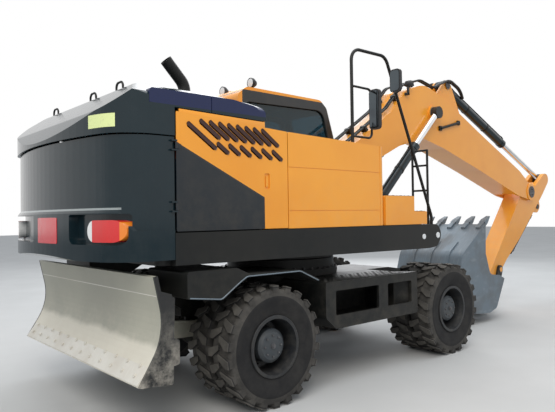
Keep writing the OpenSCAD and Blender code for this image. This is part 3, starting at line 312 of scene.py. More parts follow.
def wornSteel(name, base, rust, bright):
    # bare steel with a thin brown film in patches and fine scratches along the digging direction
    paint = Paint(name, metallic=0.35)
    film = paint.ramp(paint.noise(2.2, 5), 0.46, 0.74, 0.0, 0.55)
    scratches = paint.ramp(paint.noise(34.0, 5, stretch=(0.12, 1.7, 0.25)), 0.55, 0.8, 0.0, 0.5)
    return paint.surface({
        "Base Color": paint.mix(scratches, paint.mix(film, base, rust), bright),
        "Roughness": paint.ramp(film, 0.0, 0.55, 0.46, 0.7)}, (45.0, 5, 0.12, 0.001))


def chromeRod(name, eyes):
    # bright rods whose eyes, around the pins, are painted black
    paint = Paint(name)
    eye = 0.0
    for place, radius in eyes:
        eye = paint.maths("MAXIMUM", eye, paint.below(paint.fromHub(place), radius))
    bright = paint.patches(5.0, 3, 0.4, 0.7, (0.78, 0.79, 0.8), (0.68, 0.69, 0.7))
    worn = paint.ramp(paint.noise(60.0, 3, stretch=(1, 6, 1)), 0.35, 0.75, 0.08, 0.22)
    return paint.surface({
        "Base Color": paint.mix(eye, bright, paintLooks["blackPaint"][0]),
        "Metallic": paint.maths("SUBTRACT", 1.0, eye),
        "Roughness": paint.maths("ADD", worn, paint.maths("MULTIPLY", eye, 0.35))})


def tyreRubber(name, hub, grooves=(0.44, 0.512), lugs=0.522):
    # black side walls, dust in the grooves and a paler worn face on the lugs, by radius
    paint = Paint(name, roughness=0.85, shine=0.3)
    distance = paint.fromHub(hub)
    dust = paint.ramp(paint.noise(7.0, 7, rough=0.65), 0.38, 0.7)
    groove = paint.both(paint.within(distance, *grooves), paint.ramp(dust, 0.0, 1.0, 0.2, 0.6))
    wear = paint.both(paint.maths("GREATER_THAN", distance, lugs), paint.ramp(dust, 0.0, 1.0, 0.45, 0.8))
    cover = paint.maths("MAXIMUM", paint.maths("MAXIMUM", groove, wear), paint.maths("MULTIPLY", dust, 0.12))
    colour = paint.mix(cover, (0.012, 0.012, 0.013), (0.13, 0.12, 0.105))
    return paint.surface({"Base Color": colour}, (90.0, 4, 0.3, 0.0015))


def patchy(name, patches, shades, grain=None, **settings):
    # patches are given by scale, detail and limits
    paint = Paint(name, **settings)
    return paint.surface({"Base Color": paint.patches(*patches, *shades)}, grain)


def grained(name, base, light, roughness=0.6, scale=220.0, strength=0.25):
    return patchy(name, (4.0, 5, 0.4, 0.7), (base, light), (scale, 2, strength, 0.0008), roughness=roughness)


def lampLens(name, colours, steps=()):
    # white, red and orange fields side by side across the pod, with fine flutes
    paint = Paint(name, roughness=0.18, coat=0.6)
    colour = colours[0]
    for step, other in zip(steps, colours[1:]):
        colour = paint.mix(paint.maths("GREATER_THAN", paint.aside(), step), colour, other)
    paint.surface({"Base Color": colour})
    flutes = paint.add("TexWave", {"Scale": 26.0, "Vector": paint.place}, "Fac", bands_direction="Y")
    return paint.bump(flutes, 0.35, 0.002)


hubPlaces = {"front": (1.65, 0.53), "rear": (-1.15, 0.53)}  # x and z of the axles
rodEyes = [
    # x and z of each pin, radius of the black eye
    ((2.86, 3.16), 0.10), ((6.77, 2.33), 0.10), ((4.658, 0.26), 0.085), ((-2.17, 0.60), 0.085),
]
finish = {
    "yellow": zonedPaint("yellowPaint"), "door": doorPaint(doorField), "tail": zonedPaint("tailPaint"),
    "black": zonedPaint("blackPaint"), "blade": bladePaint(bladeField), "cab": zonedPaint("cabPaint", "yellowPaint"),
    "bucket": wornSteel("bucketSteel", (0.15, 0.19, 0.225), (0.13, 0.115, 0.10), (0.33, 0.36, 0.38)),
    "bright": wornSteel("wornBrightSteel", (0.68, 0.66, 0.60), (0.52, 0.46, 0.38), (0.78, 0.77, 0.73)),
    "bolt": wornSteel("boltSteel", (0.10, 0.10, 0.105), (0.12, 0.09, 0.07), (0.30, 0.30, 0.30)),
    "chrome": chromeRod("rodChrome", rodEyes),
    "glass": patchy(
        "cabGlass", (2.0, 4, 0.45, 0.75), ((0.045, 0.105, 0.13), (0.035, 0.085, 0.105)),
        roughness=0.03, ior=1.45, shine=0.35, clear=0.85),
    "plastic": grained("blackPlastic", (0.014, 0.014, 0.015), (0.03, 0.03, 0.032)),
    "trim": grained("cabPlastic", (0.04, 0.042, 0.046), (0.055, 0.057, 0.06)),
    "rubber": grained("sealRubber", (0.010, 0.010, 0.010), (0.02, 0.02, 0.02), 0.7, 160.0, 0.2),
    "hose": grained("hoseRubber", (0.013, 0.013, 0.014), (0.022, 0.022, 0.023), 0.5, 260.0, 0.35),
    "tailLens": lampLens(
        "tailLampLens", ((0.60, 0.02, 0.03), (0.75, 0.75, 0.74), (0.62, 0.02, 0.02), (0.80, 0.22, 0.02)),
        (0.5, 0.885, 1.115)),
    "clearLens": lampLens("clearLampLens", ((0.70, 0.72, 0.73),)),
    "cloth": patchy(
        "chairCloth", (300.0, 2, 0.4, 0.6), ((0.03, 0.032, 0.036), (0.06, 0.062, 0.068)), (420.0, 2, 0.5, 0.001),
        roughness=0.9),
    "paleSticker": patchy(
        "paleSticker", (40.0, 6, 0.58, 0.75), ((0.72, 0.80, 0.36), (0.56, 0.60, 0.33)), (60.0, 3, 0.1, 0.0004),
        roughness=0.35),
    # the mirror glass is tinted dark: a painted dark reflection
    "mirror": patchy(
        "darkReflectionMirror", (6.0, 3, 0.45, 0.7), ((0.085, 0.10, 0.11), (0.07, 0.08, 0.09)), roughness=0.06, metallic=0.9),
    # the louvre bars are dark red-brown: painted shade, the same as in the depths of the slots
    "louvre": grained("louvreShadePaint", (0.030, 0.008, 0.006), (0.045, 0.014, 0.010), 0.5, 120.0, 0.15),
}

nodeFinishes = {
    "yellow": "side_lockers tool_box boom arm cab_door",
    "door": "pump_door radiator_door",
    "cab": "cab",
    "tail": "counterweight hood hood_front boom_barrels arm_barrel bucket_barrel",
    "black": "chassis side_steps fenders front_axle rear_axle driveline left_knuckle right_knuckle swing_frame"
    " side_skirts valve_cover handrails boom_pipes rockers push_link exhaust blade_barrels engine hood_handles",
    "plastic": "work_lamps mirrors",
    "blade": "blade",
    "bucket": "bucket",
    "chrome": "boom_rods arm_rod bucket_rod blade_rods",
    "glass": "cab_glass door_glass",
    "tailLens": "tail_lamps",
    "trim": "cab_controls operator_seat",
}
for end, hub in hubPlaces.items():
    finish[end + "Rim"] = rimPaint(end + "RimPaint", hub)
    finish[end + "Tyre"] = tyreRubber(end + "TyreRubber", hub)
    nodeFinishes[end + "Rim"] = end + "_left_rims " + end + "_right_rims"
    nodeFinishes[end + "Tyre"] = end + "_left_tyres " + end + "_right_tyres"
for kind, names in nodeFinishes.items():
    for name in names.split():
        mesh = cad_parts[name].data
        mesh.materials.clear()
        mesh.materials.append(finish[kind])
print("materials on the nodes")


# ways to shape a piece by hand
def leaveEdit():
    bpy.ops.object.mode_set(mode="OBJECT")


def clearSelection():
    if bpy.context.object and bpy.context.object.mode != "OBJECT":
        leaveEdit()
    bpy.ops.object.select_all(action="DESELECT")


def selectOnly(piece):
    clearSelection()
    piece.select_set(True)
    bpy.context.view_layer.objects.active = piece


def keepPlace():
    bpy.ops.object.transform_apply(location=True, rotation=True, scale=True)
    return bpy.context.object


def addBlock(low, high):
    # a box between two corners, measured from the swing axis
    clearSelection()
    low, high = fromSwing(*low), fromSwing(*high)
    bpy.ops.mesh.primitive_cube_add(size=1, location=(low + high) / 2, scale=high - low)
    return keepPlace()


def addDrum(centre, radius, length, axis="X", sides=24):
    clearSelection()
    turn = {"X": (0, math.pi / 2, 0), "Y": (-math.pi / 2, 0, 0), "Z": (0, 0, 0)}[axis]
    bpy.ops.mesh.primitive_cylinder_add(
        vertices=sides, radius=radius, depth=length, location=fromSwing(*centre), rotation=turn)
    return keepPlace()


def pick(piece, test, kind="FACE"):
    # into edit mode, with the faces, edges or corners selected that pass the test
    bpy.ops.object.mode_set(mode="EDIT")
    bpy.ops.mesh.select_mode(type=kind)
    bpy.ops.mesh.select_all(action="DESELECT")
    shape = bmesh.from_edit_mesh(piece.data)
    for part in {"FACE": shape.faces, "EDGE": shape.edges, "VERT": shape.verts}[kind]:
        part.select_set(bool(test(part)))
    bmesh.update_edit_mesh(piece.data)


def middle(part):
    return sum((vertex.co for vertex in part.verts), Vector()) / len(part.verts)


def capFaces(piece, axis, side=0):
    # selects the faces that look along one axis, to one side or to both
    pick(piece, lambda face: (face.normal[axis] * side if side else abs(face.normal[axis])) > 0.9)


def edgesAlong(piece, axis):
    pick(piece, lambda edge: abs((edge.verts[1].co - edge.verts[0].co).normalized()[axis]) > 0.9, "EDGE")


def insetPicked(width, depth=0.0):
    bpy.ops.mesh.inset(thickness=width, depth=depth, use_individual=True)


def insetCaps(piece, axis, side, *steps):
    # insets the faces that look one way, by widths and depths
    capFaces(piece, axis, side)
    for width, depth in steps:
        insetPicked(width, depth)
    leaveEdit()
    return piece


def addDisc(centre, radius, length, axis, sides, side, *steps):
    return insetCaps(addDrum(centre, radius, length, axis, sides), "XYZ".index(axis), side, *steps)


def extrudeBy(step):
    bpy.ops.mesh.extrude_region_move(TRANSFORM_OT_translate={"value": step})


def modified(piece, kind, **settings):
    selectOnly(piece)
    modifier = piece.modifiers.new(kind, kind)
    for name, value in settings.items():
        setattr(modifier, name, value)
    bpy.ops.object.modifier_apply(modifier=kind)
    return piece


def roundEdges(piece, width, segments=2):
    return modified(
        piece, "BEVEL", width=width, segments=segments, limit_method="ANGLE", angle_limit=math.radians(35))


def bevelAlong(piece, axis, width, segments):
    # rounds the edges that run along one axis
    edgesAlong(piece, axis)
    bpy.ops.mesh.bevel(offset=width, segments=segments)
    return piece


def copied(piece, matrix):
    twin = piece.copy()
    twin.data = piece.data.copy()
    scene.collection.objects.link(twin)
    twin.data.transform(matrix)
    if matrix.determinant() < 0:
        twin.data.flip_normals()
    return twin


def about(place, turn):
    # a turn about a point
    return Matrix.Translation(place) @ turn @ Matrix.Translation(-place)


def ringOf(piece, centre, axis, count):
    turns = [Matrix.Rotation(math.tau * i / count, 4, axis) for i in range(1, count)]
    return [piece] + [copied(piece, about(centre, turn)) for turn in turns]


def rowOf(piece, step, count):
    return [piece] + [copied(piece, Matrix.Translation(Vector(step) * i)) for i in range(1, count)]


def tilt(piece, x, z, angle):
    # turns a piece in the side view
    piece.data.transform(about(fromSwing(x, 0, z), Matrix.Rotation(angle, 4, "Y")))


def mirrored(piece, y=0.0):
    return copied(piece, about(Vector((0, y, 0)), Matrix.Scale(-1, 4, (0, 1, 0))))


def joined(parts):
    clearSelection()
    for part in parts:
        part.select_set(True)
    bpy.context.view_layer.objects.active = parts[0]
    bpy.ops.object.join()
    return bpy.context.object


def settle(piece, name, material, body=None, smooth=35):
    # one piece or a list to join: name, material, smooth shading and the body it rides on, if that is one
    piece = joined(piece) if isinstance(piece, list) else piece
    selectOnly(piece)
    bpy.ops.object.shade_smooth_by_angle(angle=math.radians(smooth))
    piece.name = piece.data.name = name
    piece.data.materials.clear()
    piece.data.materials.append(finish[material])
    if body:
        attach(piece, body)
    return piece


def settlePair(piece, kind, material):
    # a piece on the right side door and its mirror image on the left one
    settle(piece, "pumpDoor" + kind, material, "pump_door")
    settle(mirrored(piece), "radiatorDoor" + kind, material, "radiator_door")


def addRail(points, radius, bend=0.0, closed=False, sides=2):
    # a path drawn point by point, its corners rounded, then given a round section
    clearSelection()
    points = [fromSwing(*p) for p in points]
    bpy.ops.mesh.primitive_plane_add(size=0.001, location=points[0])
    rail = keepPlace()
    bpy.ops.object.mode_set(mode="EDIT")
    bpy.ops.mesh.select_mode(type="VERT")
    bpy.ops.mesh.merge(type="CENTER")
    for start, end in zip(points, points[1:]):
        extrudeBy(end - start)
    if closed:
        pick(rail, lambda vertex: len(vertex.link_edges) < 2, "VERT")
        bpy.ops.mesh.edge_face_add()
    if bend:
        pick(rail, lambda vertex: len(vertex.link_edges) == 2, "VERT")
        bpy.ops.mesh.bevel(offset=bend, offset_type="OFFSET", segments=5, affect="VERTICES")
    leaveEdit()
    bpy.ops.object.convert(target="CURVE")
    rail = bpy.context.object
    rail.data.bevel_depth, rail.data.bevel_resolution = radius, sides
    rail.data.use_fill_caps = not closed
    bpy.ops.object.convert(target="MESH")
    return bpy.context.object


boltLook = {"chamfer": 0.12, "rise": 0.08, "stud": 0.45, "studHeight": 0.35}  # shares of the radius and the height


def addBolt(centre, radius, height, axis="Y", outward=1, look=boltLook):
    # a hexagon nut with a stud end
    bolt = addDrum(centre, radius, height, axis, sides=6)
    which = "XYZ".index(axis)
    capFaces(bolt, which, outward)
    insetPicked(radius * look["chamfer"], height * look["rise"])
    insetPicked(radius * look["stud"])
    step = Vector((0, 0, 0))
    step[which] = height * look["studHeight"] * outward
    extrudeBy(step)
    leaveEdit()
    return bolt


# wheel nuts and the bolts of the hub caps
wheelLook = {
    "nutRing": 0.203, "nuts": 10, "nutRadius": 0.017, "nutHeight": 0.024, "nutY": 0.993,
    "capRing": 0.092, "capBolts": 8, "capBoltRadius": 0.009, "capBoltHeight": 0.014, "capY": 1.199,
    "plugRadius": 0.024, "plugHeight": 0.014, "plugInset": 0.009, "plugNose": 0.010,
}


def makeWheelNuts(look):
    for end, (x, z) in hubPlaces.items():
        hub = fromSwing(x, 0, z)
        nut = addBolt((x, look["nutY"], z + look["nutRing"]), look["nutRadius"], look["nutHeight"])
        small = addBolt((x, look["capY"], z + look["capRing"]), look["capBoltRadius"], look["capBoltHeight"])
        plug = addDrum((x, look["capY"] + 0.004, z), look["plugRadius"], look["plugHeight"], "Y", 16)
        capFaces(plug, 1, 1)
        insetPicked(look["plugInset"])
        extrudeBy((0, look["plugNose"], 0))
        leaveEdit()
        left = joined(ringOf(nut, hub, "Y", look["nuts"]) + ringOf(small, hub, "Y", look["capBolts"]) + [plug])
        for half, side in ((left, "Left"), (mirrored(left), "Right")):
            settle(half, end + side + "WheelNuts", "bolt", end + "_" + side.lower() + "_wheels", 30)


makeWheelNuts(wheelLook)

slewLook = {"ring": 0.641, "z": 1.097, "bolts": 40, "radius": 0.011, "height": 0.018}


def makeSlewBolts(look):
    bolt = addBolt((look["ring"], 0, look["z"]), look["radius"], look["height"], "Z")
    settle(
        ringOf(bolt, fromSwing(0, 0, 0), "Z", look["bolts"]), "slewingRingBolts", "bolt", "undercarriage", 30)


makeSlewBolts(slewLook)
print("wheels and slewing ring dressed")

# folded lip along each fender
fenderLook = {
    "edge": [(-2.019, 1.041), (-1.719, 1.003), (-1.535, 1.123), (-1.458, 1.167), (-0.848, 1.167), (-0.618, 1.064)],
    "y": 1.240, "radius": 0.006, "bend": 0.02,
}


def makeFenderLips(look):
    lip = addRail([(x, look["y"], z) for x, z in look["edge"]], look["radius"], look["bend"])
    settle([lip, mirrored(lip)], "fenderLips", "bucket", "undercarriage", 60)


makeFenderLips(fenderLook)

# bolted cutting edge along the blade's foot, and the bead under its top fold
bladeLook = {
    "half": 1.225, "foot": (-2.452, 0.447), "top": (-2.333, 0.610), "thick": 0.016, "bolts": 12,
    "boltRows": (0.3, 0.7), "boltRadius": 0.017, "boltHeight": 0.012, "bead": (-2.2925, 1.085), "beadRadius": 0.007,
}


def makeBladeEdge(look):
    (x0, z0), (x1, z1) = look["foot"], look["top"]
    slope = math.atan2(z1 - z0, x1 - x0)
    length = math.hypot(x1 - x0, z1 - z0)
    half = look["half"]
    plate = addBlock((x0, -half, z0), (x0 + length, half, z0 + look["thick"]))
    edgesAlong(plate, 0)
    bpy.ops.mesh.subdivide(number_cuts=2)
    leaveEdit()
    parts = [roundEdges(plate, 0.004)]
    gap = 2 * half / look["bolts"]
    for row in look["boltRows"]:
        place = (x0 + length * row, -half + gap / 2, z0 + look["thick"] + 0.004)
        bolt = addBolt(place, look["boltRadius"], look["boltHeight"], "Z")
        parts += rowOf(bolt, (0, gap, 0), look["bolts"])
    edge = joined(parts)
    tilt(edge, x0, z0, -slope)
    settle(edge, "bladeCuttingEdge", "bright", "blade", 30)
    x, z = look["bead"]
    bead = addRail([(x, -half, z), (x, 0, z), (x, half, z)], look["beadRadius"])
    settle(bead, "bladeFoldBead", "bright", "blade", 60)


makeBladeEdge(bladeLook)

# retainer plates with two bolts and a grease nipple at the ends of the pins
pinLook = {"thick": 0.010, "bolt": 0.14, "boltPlace": 0.48, "nipple": 0.10}
pinRows = [
    # name, body, x, z, y of the face, radius
    ("boomPinCaps", "boom", [
        (6.000, 2.050, 0.225, 0.105), (2.860, 3.160, 0.234, 0.090), (3.450, 3.680, 0.110, 0.060)]),
    ("boomFootCaps", "upper", [(0.350, 1.950, 0.334, 0.075)]),
    ("bladePinCaps", "blade", [(-1.450, 0.620, 0.424, 0.050)]),
]


def addPinCap(x, y, z, radius, look=pinLook):
    thick = look["thick"]
    steps = (radius * 0.12, thick * 0.3), (radius * 0.2, -thick * 0.25)
    disc = addDisc((x, y + thick / 2, z), radius, thick, "Y", 28, 1, *steps)
    bolts = [
        addBolt((x, y + thick + 0.005, z + end * radius), radius * look["bolt"], radius * 0.16 + 0.004)
        for end in (-look["boltPlace"], look["boltPlace"])]
    nipple = addDrum((x, y + thick + 0.006, z), radius * look["nipple"], 0.014, "Y", 12)
    capFaces(nipple, 1, 1)
    bpy.ops.transform.resize(value=(0.5, 1, 0.5))
    leaveEdit()
    return joined([disc, *bolts, nipple])


def makePinCaps(rows):
    for name, body, places in rows:
        parts = []
        for x, z, y, radius in places:
            cap = addPinCap(x, y, z, radius)
            parts += [cap, mirrored(cap)]
        settle(parts, name, "bolt", body, 30)


makePinCaps(pinRows)
print("blade, fenders and pins dressed")

# the working gear's own side views: pins on the arm, and cylinders from base to eye
boomTip, bucketPin = Vector((6.000, 2.050)), Vector((4.500, 0.450))
armLength = (bucketPin - boomTip).length
armAngle = math.atan2(bucketPin[1] - boomTip[1], bucketPin[0] - boomTip[0])


def onArm(a, b):
    c, s = math.cos(armAngle), math.sin(armAngle)
    return Vector((boomTip[0] + a * c - b * s, boomTip[1] + a * s + b * c))


rockerBack, rockerRise, rockerLength, rockerAngle = armLength - 0.42, 0.08, 0.48, math.radians(20.1)
rockerPivot = onArm(rockerBack, rockerRise)
rockerEnd = onArm(
    rockerBack + rockerLength * math.cos(rockerAngle), rockerRise + rockerLength * math.sin(rockerAngle))
linkPin = onArm(armLength + 0.42, 0)
bucketCylinderBase = onArm(-0.15, 0.55)

makePinCaps([
    ("armPinCaps", "arm", [(*bucketCylinderBase, 0.100, 0.050)]),
    ("bucketPinCaps", "bucket", [(*bucketPin, 0.260, 0.070), (*linkPin, 0.260, 0.060)]),
])

collarLook = {"y": 0.2005, "radius": 0.055, "thick": 0.008}


def makeRockerCollars(look):
    # flat, because the bucket's ears pass close by
    x, z = rockerPivot
    collar = addDisc((x, look["y"], z), look["radius"], look["thick"], "Y", 28, 1, (0.008, -0.003))
    settle([collar, mirrored(collar)], "rockerCollars", "bolt", "arm", 30)


makeRockerCollars(collarLook)

cylinderRows = [
    # piece, body, base pin, eye, y, barrel length, barrel radius, clear bore, y offsets of the pipes on the barrel
    ("boomCylinderPipes", "boom_barrels", (1.120, 1.520), (2.860, 3.160), 0.288, 1.62, 0.066, 0.048, (0.022, 0.058)),
    ("armCylinderPipes", "arm_barrel", (3.450, 3.680), (6.770, 2.330), 0.0, 2.05, 0.072, 0.051, (-0.035, 0.035)),
    ("bucketCylinderPipes", "bucket_barrel", bucketCylinderBase, rockerEnd, 0.0, 1.28, 0.062, 0.045, (-0.030, 0.030)),
]
pipeLook = {
    "radius": 0.010, "bend": 0.015, "clear": 0.004, "hook": 0.012, "drop": 0.02,
    "bands": (0.36, 0.68), "bandWidth": 0.034, "bandProud": 0.004,
    "ports": (0.20, 0.085), "portShift": 0.05, "portLong": 0.022, "portHalf": 0.014,
}


def addCylinderPipes(base, y, length, radius, bore, offsets, look=pipeLook):
    # clamp bands with a clear bore, port blocks and steel pipes, drawn along X from the base pin
    parts = []
    bx, bz = base
    for share in look["bands"]:
        band = addDrum((bx + length * share, y, bz), radius + look["bandProud"], look["bandWidth"], "X", 32)
        capFaces(band, 0)
        insetPicked(0.003, -0.002)
        insetPicked(radius + look["bandProud"] - 0.005 - bore)
        bpy.ops.mesh.bridge_edge_loops()
        leaveEdit()
        parts.append(band)
    half, hook, drop = look["portHalf"], look["hook"], look["drop"]
    for i, offset in enumerate(offsets):
        side = y + offset
        level = bz + math.sqrt(max(radius ** 2 - offset ** 2, 0)) + look["radius"] + look["clear"]
        foot = bz + math.sqrt(max(bore ** 2 - (abs(offset) - half) ** 2, 0))
        near, far = bx + look["ports"][0], bx + length - look["ports"][1] - look["portShift"] * i
        route = [
            (near, level - drop), (near + 0.02, level + hook), (near + 0.10, level),
            (far - 0.08, level), (far - 0.01, level + hook), (far, level - drop)]
        parts.append(addRail([(x, side, z) for x, z in route], look["radius"], look["bend"]))
        for x in (near, far):
            port = addBlock(
                (x - look["portLong"], side - half, foot), (x + look["portLong"], side + half, level + look["clear"]))
            insetCaps(port, 2, 1, (0.006, 0.004))
            parts.append(roundEdges(port, 0.003))
    return joined(parts)


def makeCylinderPipes(rows):
    for name, body, base, eye, y, length, radius, bore, offsets in rows:
        pipes = addCylinderPipes(base, y, length, radius, bore, offsets)
        angle = math.atan2(eye[1] - base[1], eye[0] - base[0])
        tilt(pipes, *base, -angle)
        if y:
            pipes = joined([pipes, mirrored(pipes)])
        settle(pipes, name, "black", body, 40)


makeCylinderPipes(cylinderRows)

# hoses bent over the boom's foot and at the knee, where the arm cylinder starts
hoseLook = {
    "radius": 0.016, "bend": 0.10,
    "foot": [(-0.42, 2.06), (-0.36, 2.30), (0.08, 2.37), (0.50, 2.285), (0.72, 2.405)],
    "footY": (-0.160, -0.115, 0.115, 0.160), "footDraw": (1, 1, 1, 1, 1),  # share of y at each point
    "knee": [(2.99, 3.578), (3.14, 3.64), (3.42, 3.758), (3.80, 3.66), (3.955, 3.545)],
    "kneeY": (-0.125, 0.125, -0.165, 0.165), "kneeDraw": (1, 1, 1, 0.75, 0.45),
}


def addHose(look, part, i):
    y = look[part + "Y"][i]
    points = [(x, y * share, z) for (x, z), share in zip(look[part], look[part + "Draw"])]
    hose = addRail(points, look["radius"], look["bend"], sides=3)
    return settle(hose, "%sHose%d" % (part, i), "hose", smooth=60)


def makeHoses(look):
    for i in range(len(look["footY"])):
        hose = addHose(look, "foot", i)
        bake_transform(hose)
    for i in range(len(look["kneeY"])):
        hose = addHose(look, "knee", i)
        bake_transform(hose)


makeHoses(hoseLook)

# lamp on the boom's shoulder, and the steel pipe along its side
boomLampLook = {"place": (2.200, -0.262, 3.500), "radius": 0.055, "depth": 0.085, "back": 0.55, "glass": 0.008}
sidePipeLook = {"points": [(3.05, -0.232, 2.955), (3.30, -0.232, 3.020), (3.55, -0.232, 3.085)], "radius": 0.020}


def makeBoomLamp(look):
    x, y, z = look["place"]
    body = addDrum((x, y, z), look["radius"], look["depth"], "X", 28)
    capFaces(body, 0, -1)
    bpy.ops.transform.resize(value=(1, look["back"], look["back"]))
    insetCaps(body, 0, 1, (0.006, 0.0), (0.001, -0.012))
    roundEdges(body, 0.003)
    foot = roundEdges(addBlock((x - 0.02, y - 0.012, z - 0.16), (x + 0.02, y + 0.0525, z - 0.125)), 0.004)
    stem = roundEdges(addBlock((x - 0.018, y - 0.012, z - 0.16), (x + 0.018, y + 0.012, z - 0.03)), 0.004)
    settle([body, foot, stem], "boomLamp", "plastic", "boom")
    x, glass = x + look["depth"] / 2 - look["glass"], look["glass"]
    lens = addDisc((x, y, z), look["radius"] - glass, glass, "X", 28, 0, (0.014, 0.004), (0.014, 0.003))
    settle(lens, "boomLampLens", "clearLens", "boom")


def makeSidePipe(look):
    parts = [addRail(look["points"], look["radius"], 0.05, sides=4)]
    for x, y, z in (look["points"][0], look["points"][-1]):
        clamp = addBlock((x - 0.035, y - 0.006, z - 0.035), (x + 0.035, y + 0.024, z + 0.035))
        parts += [roundEdges(clamp, 0.008), addBolt((x, y - 0.012, z), 0.012, 0.012, "Y", outward=-1)]
    settle(parts, "boomSidePipe", "black", "boom")


makeBoomLamp(boomLampLook)
makeSidePipe(sidePipeLook)
print("working gear dressed")

# lenses of the roof lamps, glasses of the mirrors, reflectors on the skirts
lensLook = {"x": -0.071, "y": (0.430, 1.020), "z": 3.310, "radius": 0.053}
mirrorRows = [((0.2545, -1.280, 2.575), (0.2602, -1.165, 2.965)), ((0.6145, -1.280, 3.015), (0.6202, -1.165, 3.235))]
reflectorY = -1.2275
reflectorRows = [(1.107, 1.412, 0.030), (1.385, 1.420, 0.034)]  # x, z and radius on both skirts


def makeRoofLenses(look):
    steps = (0.015, 0.003), (0.015, 0.002)
    parts = [addDisc((look["x"], y, look["z"]), look["radius"], 0.008, "X", 28, -1, *steps) for y in look["y"]]
    settle(parts, "roofLampLenses", "clearLens", "upper")


def makeMirrorGlasses(rows):
    glasses = [insetCaps(bevelAlong(addBlock(*corners), 0, 0.030, 4), 0, -1, (0.006, 0.001)) for corners in rows]
    settle(glasses, "mirrorGlasses", "mirror", "upper")


def makeReflectors(rows):
    parts = []
    for x, z, radius in rows:
        steps = (radius * 0.2, 0.002), (radius * 0.25, -0.002)
        disc = addDisc((x, reflectorY, z), radius, 0.009, "Y", 24, -1, *steps)
        parts += [disc, mirrored(disc)]
    settle(parts, "skirtReflectors", "clearLens", "upper")


makeRoofLenses(lensLook)
makeMirrorGlasses(mirrorRows)
makeReflectors(reflectorRows)

# rubber seals round the windows, as rows of points in each window's own plane
sealLook = {
    "radius": 0.010, "bend": 0.055, "rightY": 0.3715, "leftY": 1.217, "rearX": -0.322, "frontY": (0.455, 1.125),
}
sideWindow = [(-0.200, 2.050), (-0.200, 3.060), (1.060, 3.090), (1.150, 3.020), (1.250, 2.650), (1.290, 2.050)]
smallWindow = [(-0.230, 2.050), (-0.230, 3.060), (0.070, 3.080), (0.070, 2.050)]
rearWindow = [(0.475, 2.350), (1.105, 2.350), (1.105, 3.040), (0.475, 3.040)]
frontSide = [(1.327, 1.560), (1.388, 1.900), (1.389, 2.300), (1.348, 2.700), (1.228, 3.085)]
doorWindow = [
    (0.200, 1.700), (0.200, 3.040), (1.020, 3.040), (1.100, 3.000), (1.200, 2.640), (1.240, 1.950), (1.200, 1.700)]


def makeSeals(look):
    def seal(points):
        return addRail(points, look["radius"], look["bend"], closed=True)

    low, high = look["frontY"]
    seals = [
        seal([(x, look["rightY"], z) for x, z in sideWindow]), seal([(x, look["leftY"], z) for x, z in smallWindow]),
        seal([(look["rearX"], y, z) for y, z in rearWindow]),
        seal([(x, low, z) for x, z in frontSide] + [(x, high, z) for x, z in reversed(frontSide)])]
    settle(seals, "cabWindowSeals", "rubber", "upper", 60)
    settle(seal([(x, look["leftY"], z) for x, z in doorWindow]), "doorWindowSeal", "rubber", "cab_door", 60)


makeSeals(sealLook)

wiperLook = {
    "pivotRadius": 0.022, "pivotLength": 0.040, "armRadius": 0.007, "bladeRadius": 0.009, "bend": 0.04,
    "pivot": (1.345, 0.60, 1.60), "arm": [(1.352, 0.60, 1.60), (1.412, 0.66, 1.95), (1.408, 0.76, 2.25)],
    "blade": [(1.402, 0.70, 1.98), (1.404, 0.76, 2.25), (1.382, 0.83, 2.55)],
}


def makeWiper(look):
    pivot = addDisc(look["pivot"], look["pivotRadius"], look["pivotLength"], "X", 16, 0, (0.006, 0.004))
    rails = [addRail(look[part], look[part + "Radius"], look["bend"]) for part in ("arm", "blade")]
    settle([pivot, *rails], "wiper", "plastic", "upper", 50)


makeWiper(wiperLook)
print("cab dressed outside")

# operator's chair: sewn cushions on a bellows foot, with two consoles
chairLook = {
    # pads by name, axis of the broad face, height of the crown, and corners from the chair's middle line
    "y": 0.79, "pads": [
        ("chairCushion", 2, 0.020, ((0.09, -0.235, 1.715), (0.575, 0.235, 1.885))),
        ("chairBack", 0, 0.022, ((-0.015, -0.230, 1.830), (0.125, 0.230, 2.410))),
        ("chairPillow", 0, 0.010, ((-0.020, -0.125, 2.425), (0.070, 0.125, 2.620))),
    ],
    "backLean": -6.0, "hinge": (0.06, 1.83), "foot": ((0.09, -0.165, 1.455), (0.47, 0.165, 1.715)), "folds": 5,
    "console": ((0.005, 0.240, 1.456), (0.615, 0.335, 1.960)), "rest": ((0.02, 0.242, 1.962), (0.46, 0.333, 2.015)),
    "consoleLean": -0.06,
}


def addBeside(box, y):
    # a block whose corners are measured from a middle line at y
    (x0, y0, z0), (x1, y1, z1) = box
    return addBlock((x0, y0 + y, z0), (x1, y1 + y, z1))


def addCushion(box, y, axis, crown):
    # a crowned pad: its broad face is inset twice for the sewn edge, then raised, and all is smoothed
    pad = addBeside(box, y)
    capFaces(pad, axis, 1)
    for width, depth in ((0.035, 0.004), (0.012, -0.010), (0.030, crown), (0.050, crown * 0.4)):
        insetPicked(width, depth)
    bpy.ops.mesh.select_all(action="SELECT")
    bpy.ops.mesh.subdivide(number_cuts=1)
    leaveEdit()
    roundEdges(pad, 0.022, 3)
    return modified(pad, "SUBSURF", levels=2, render_levels=2)


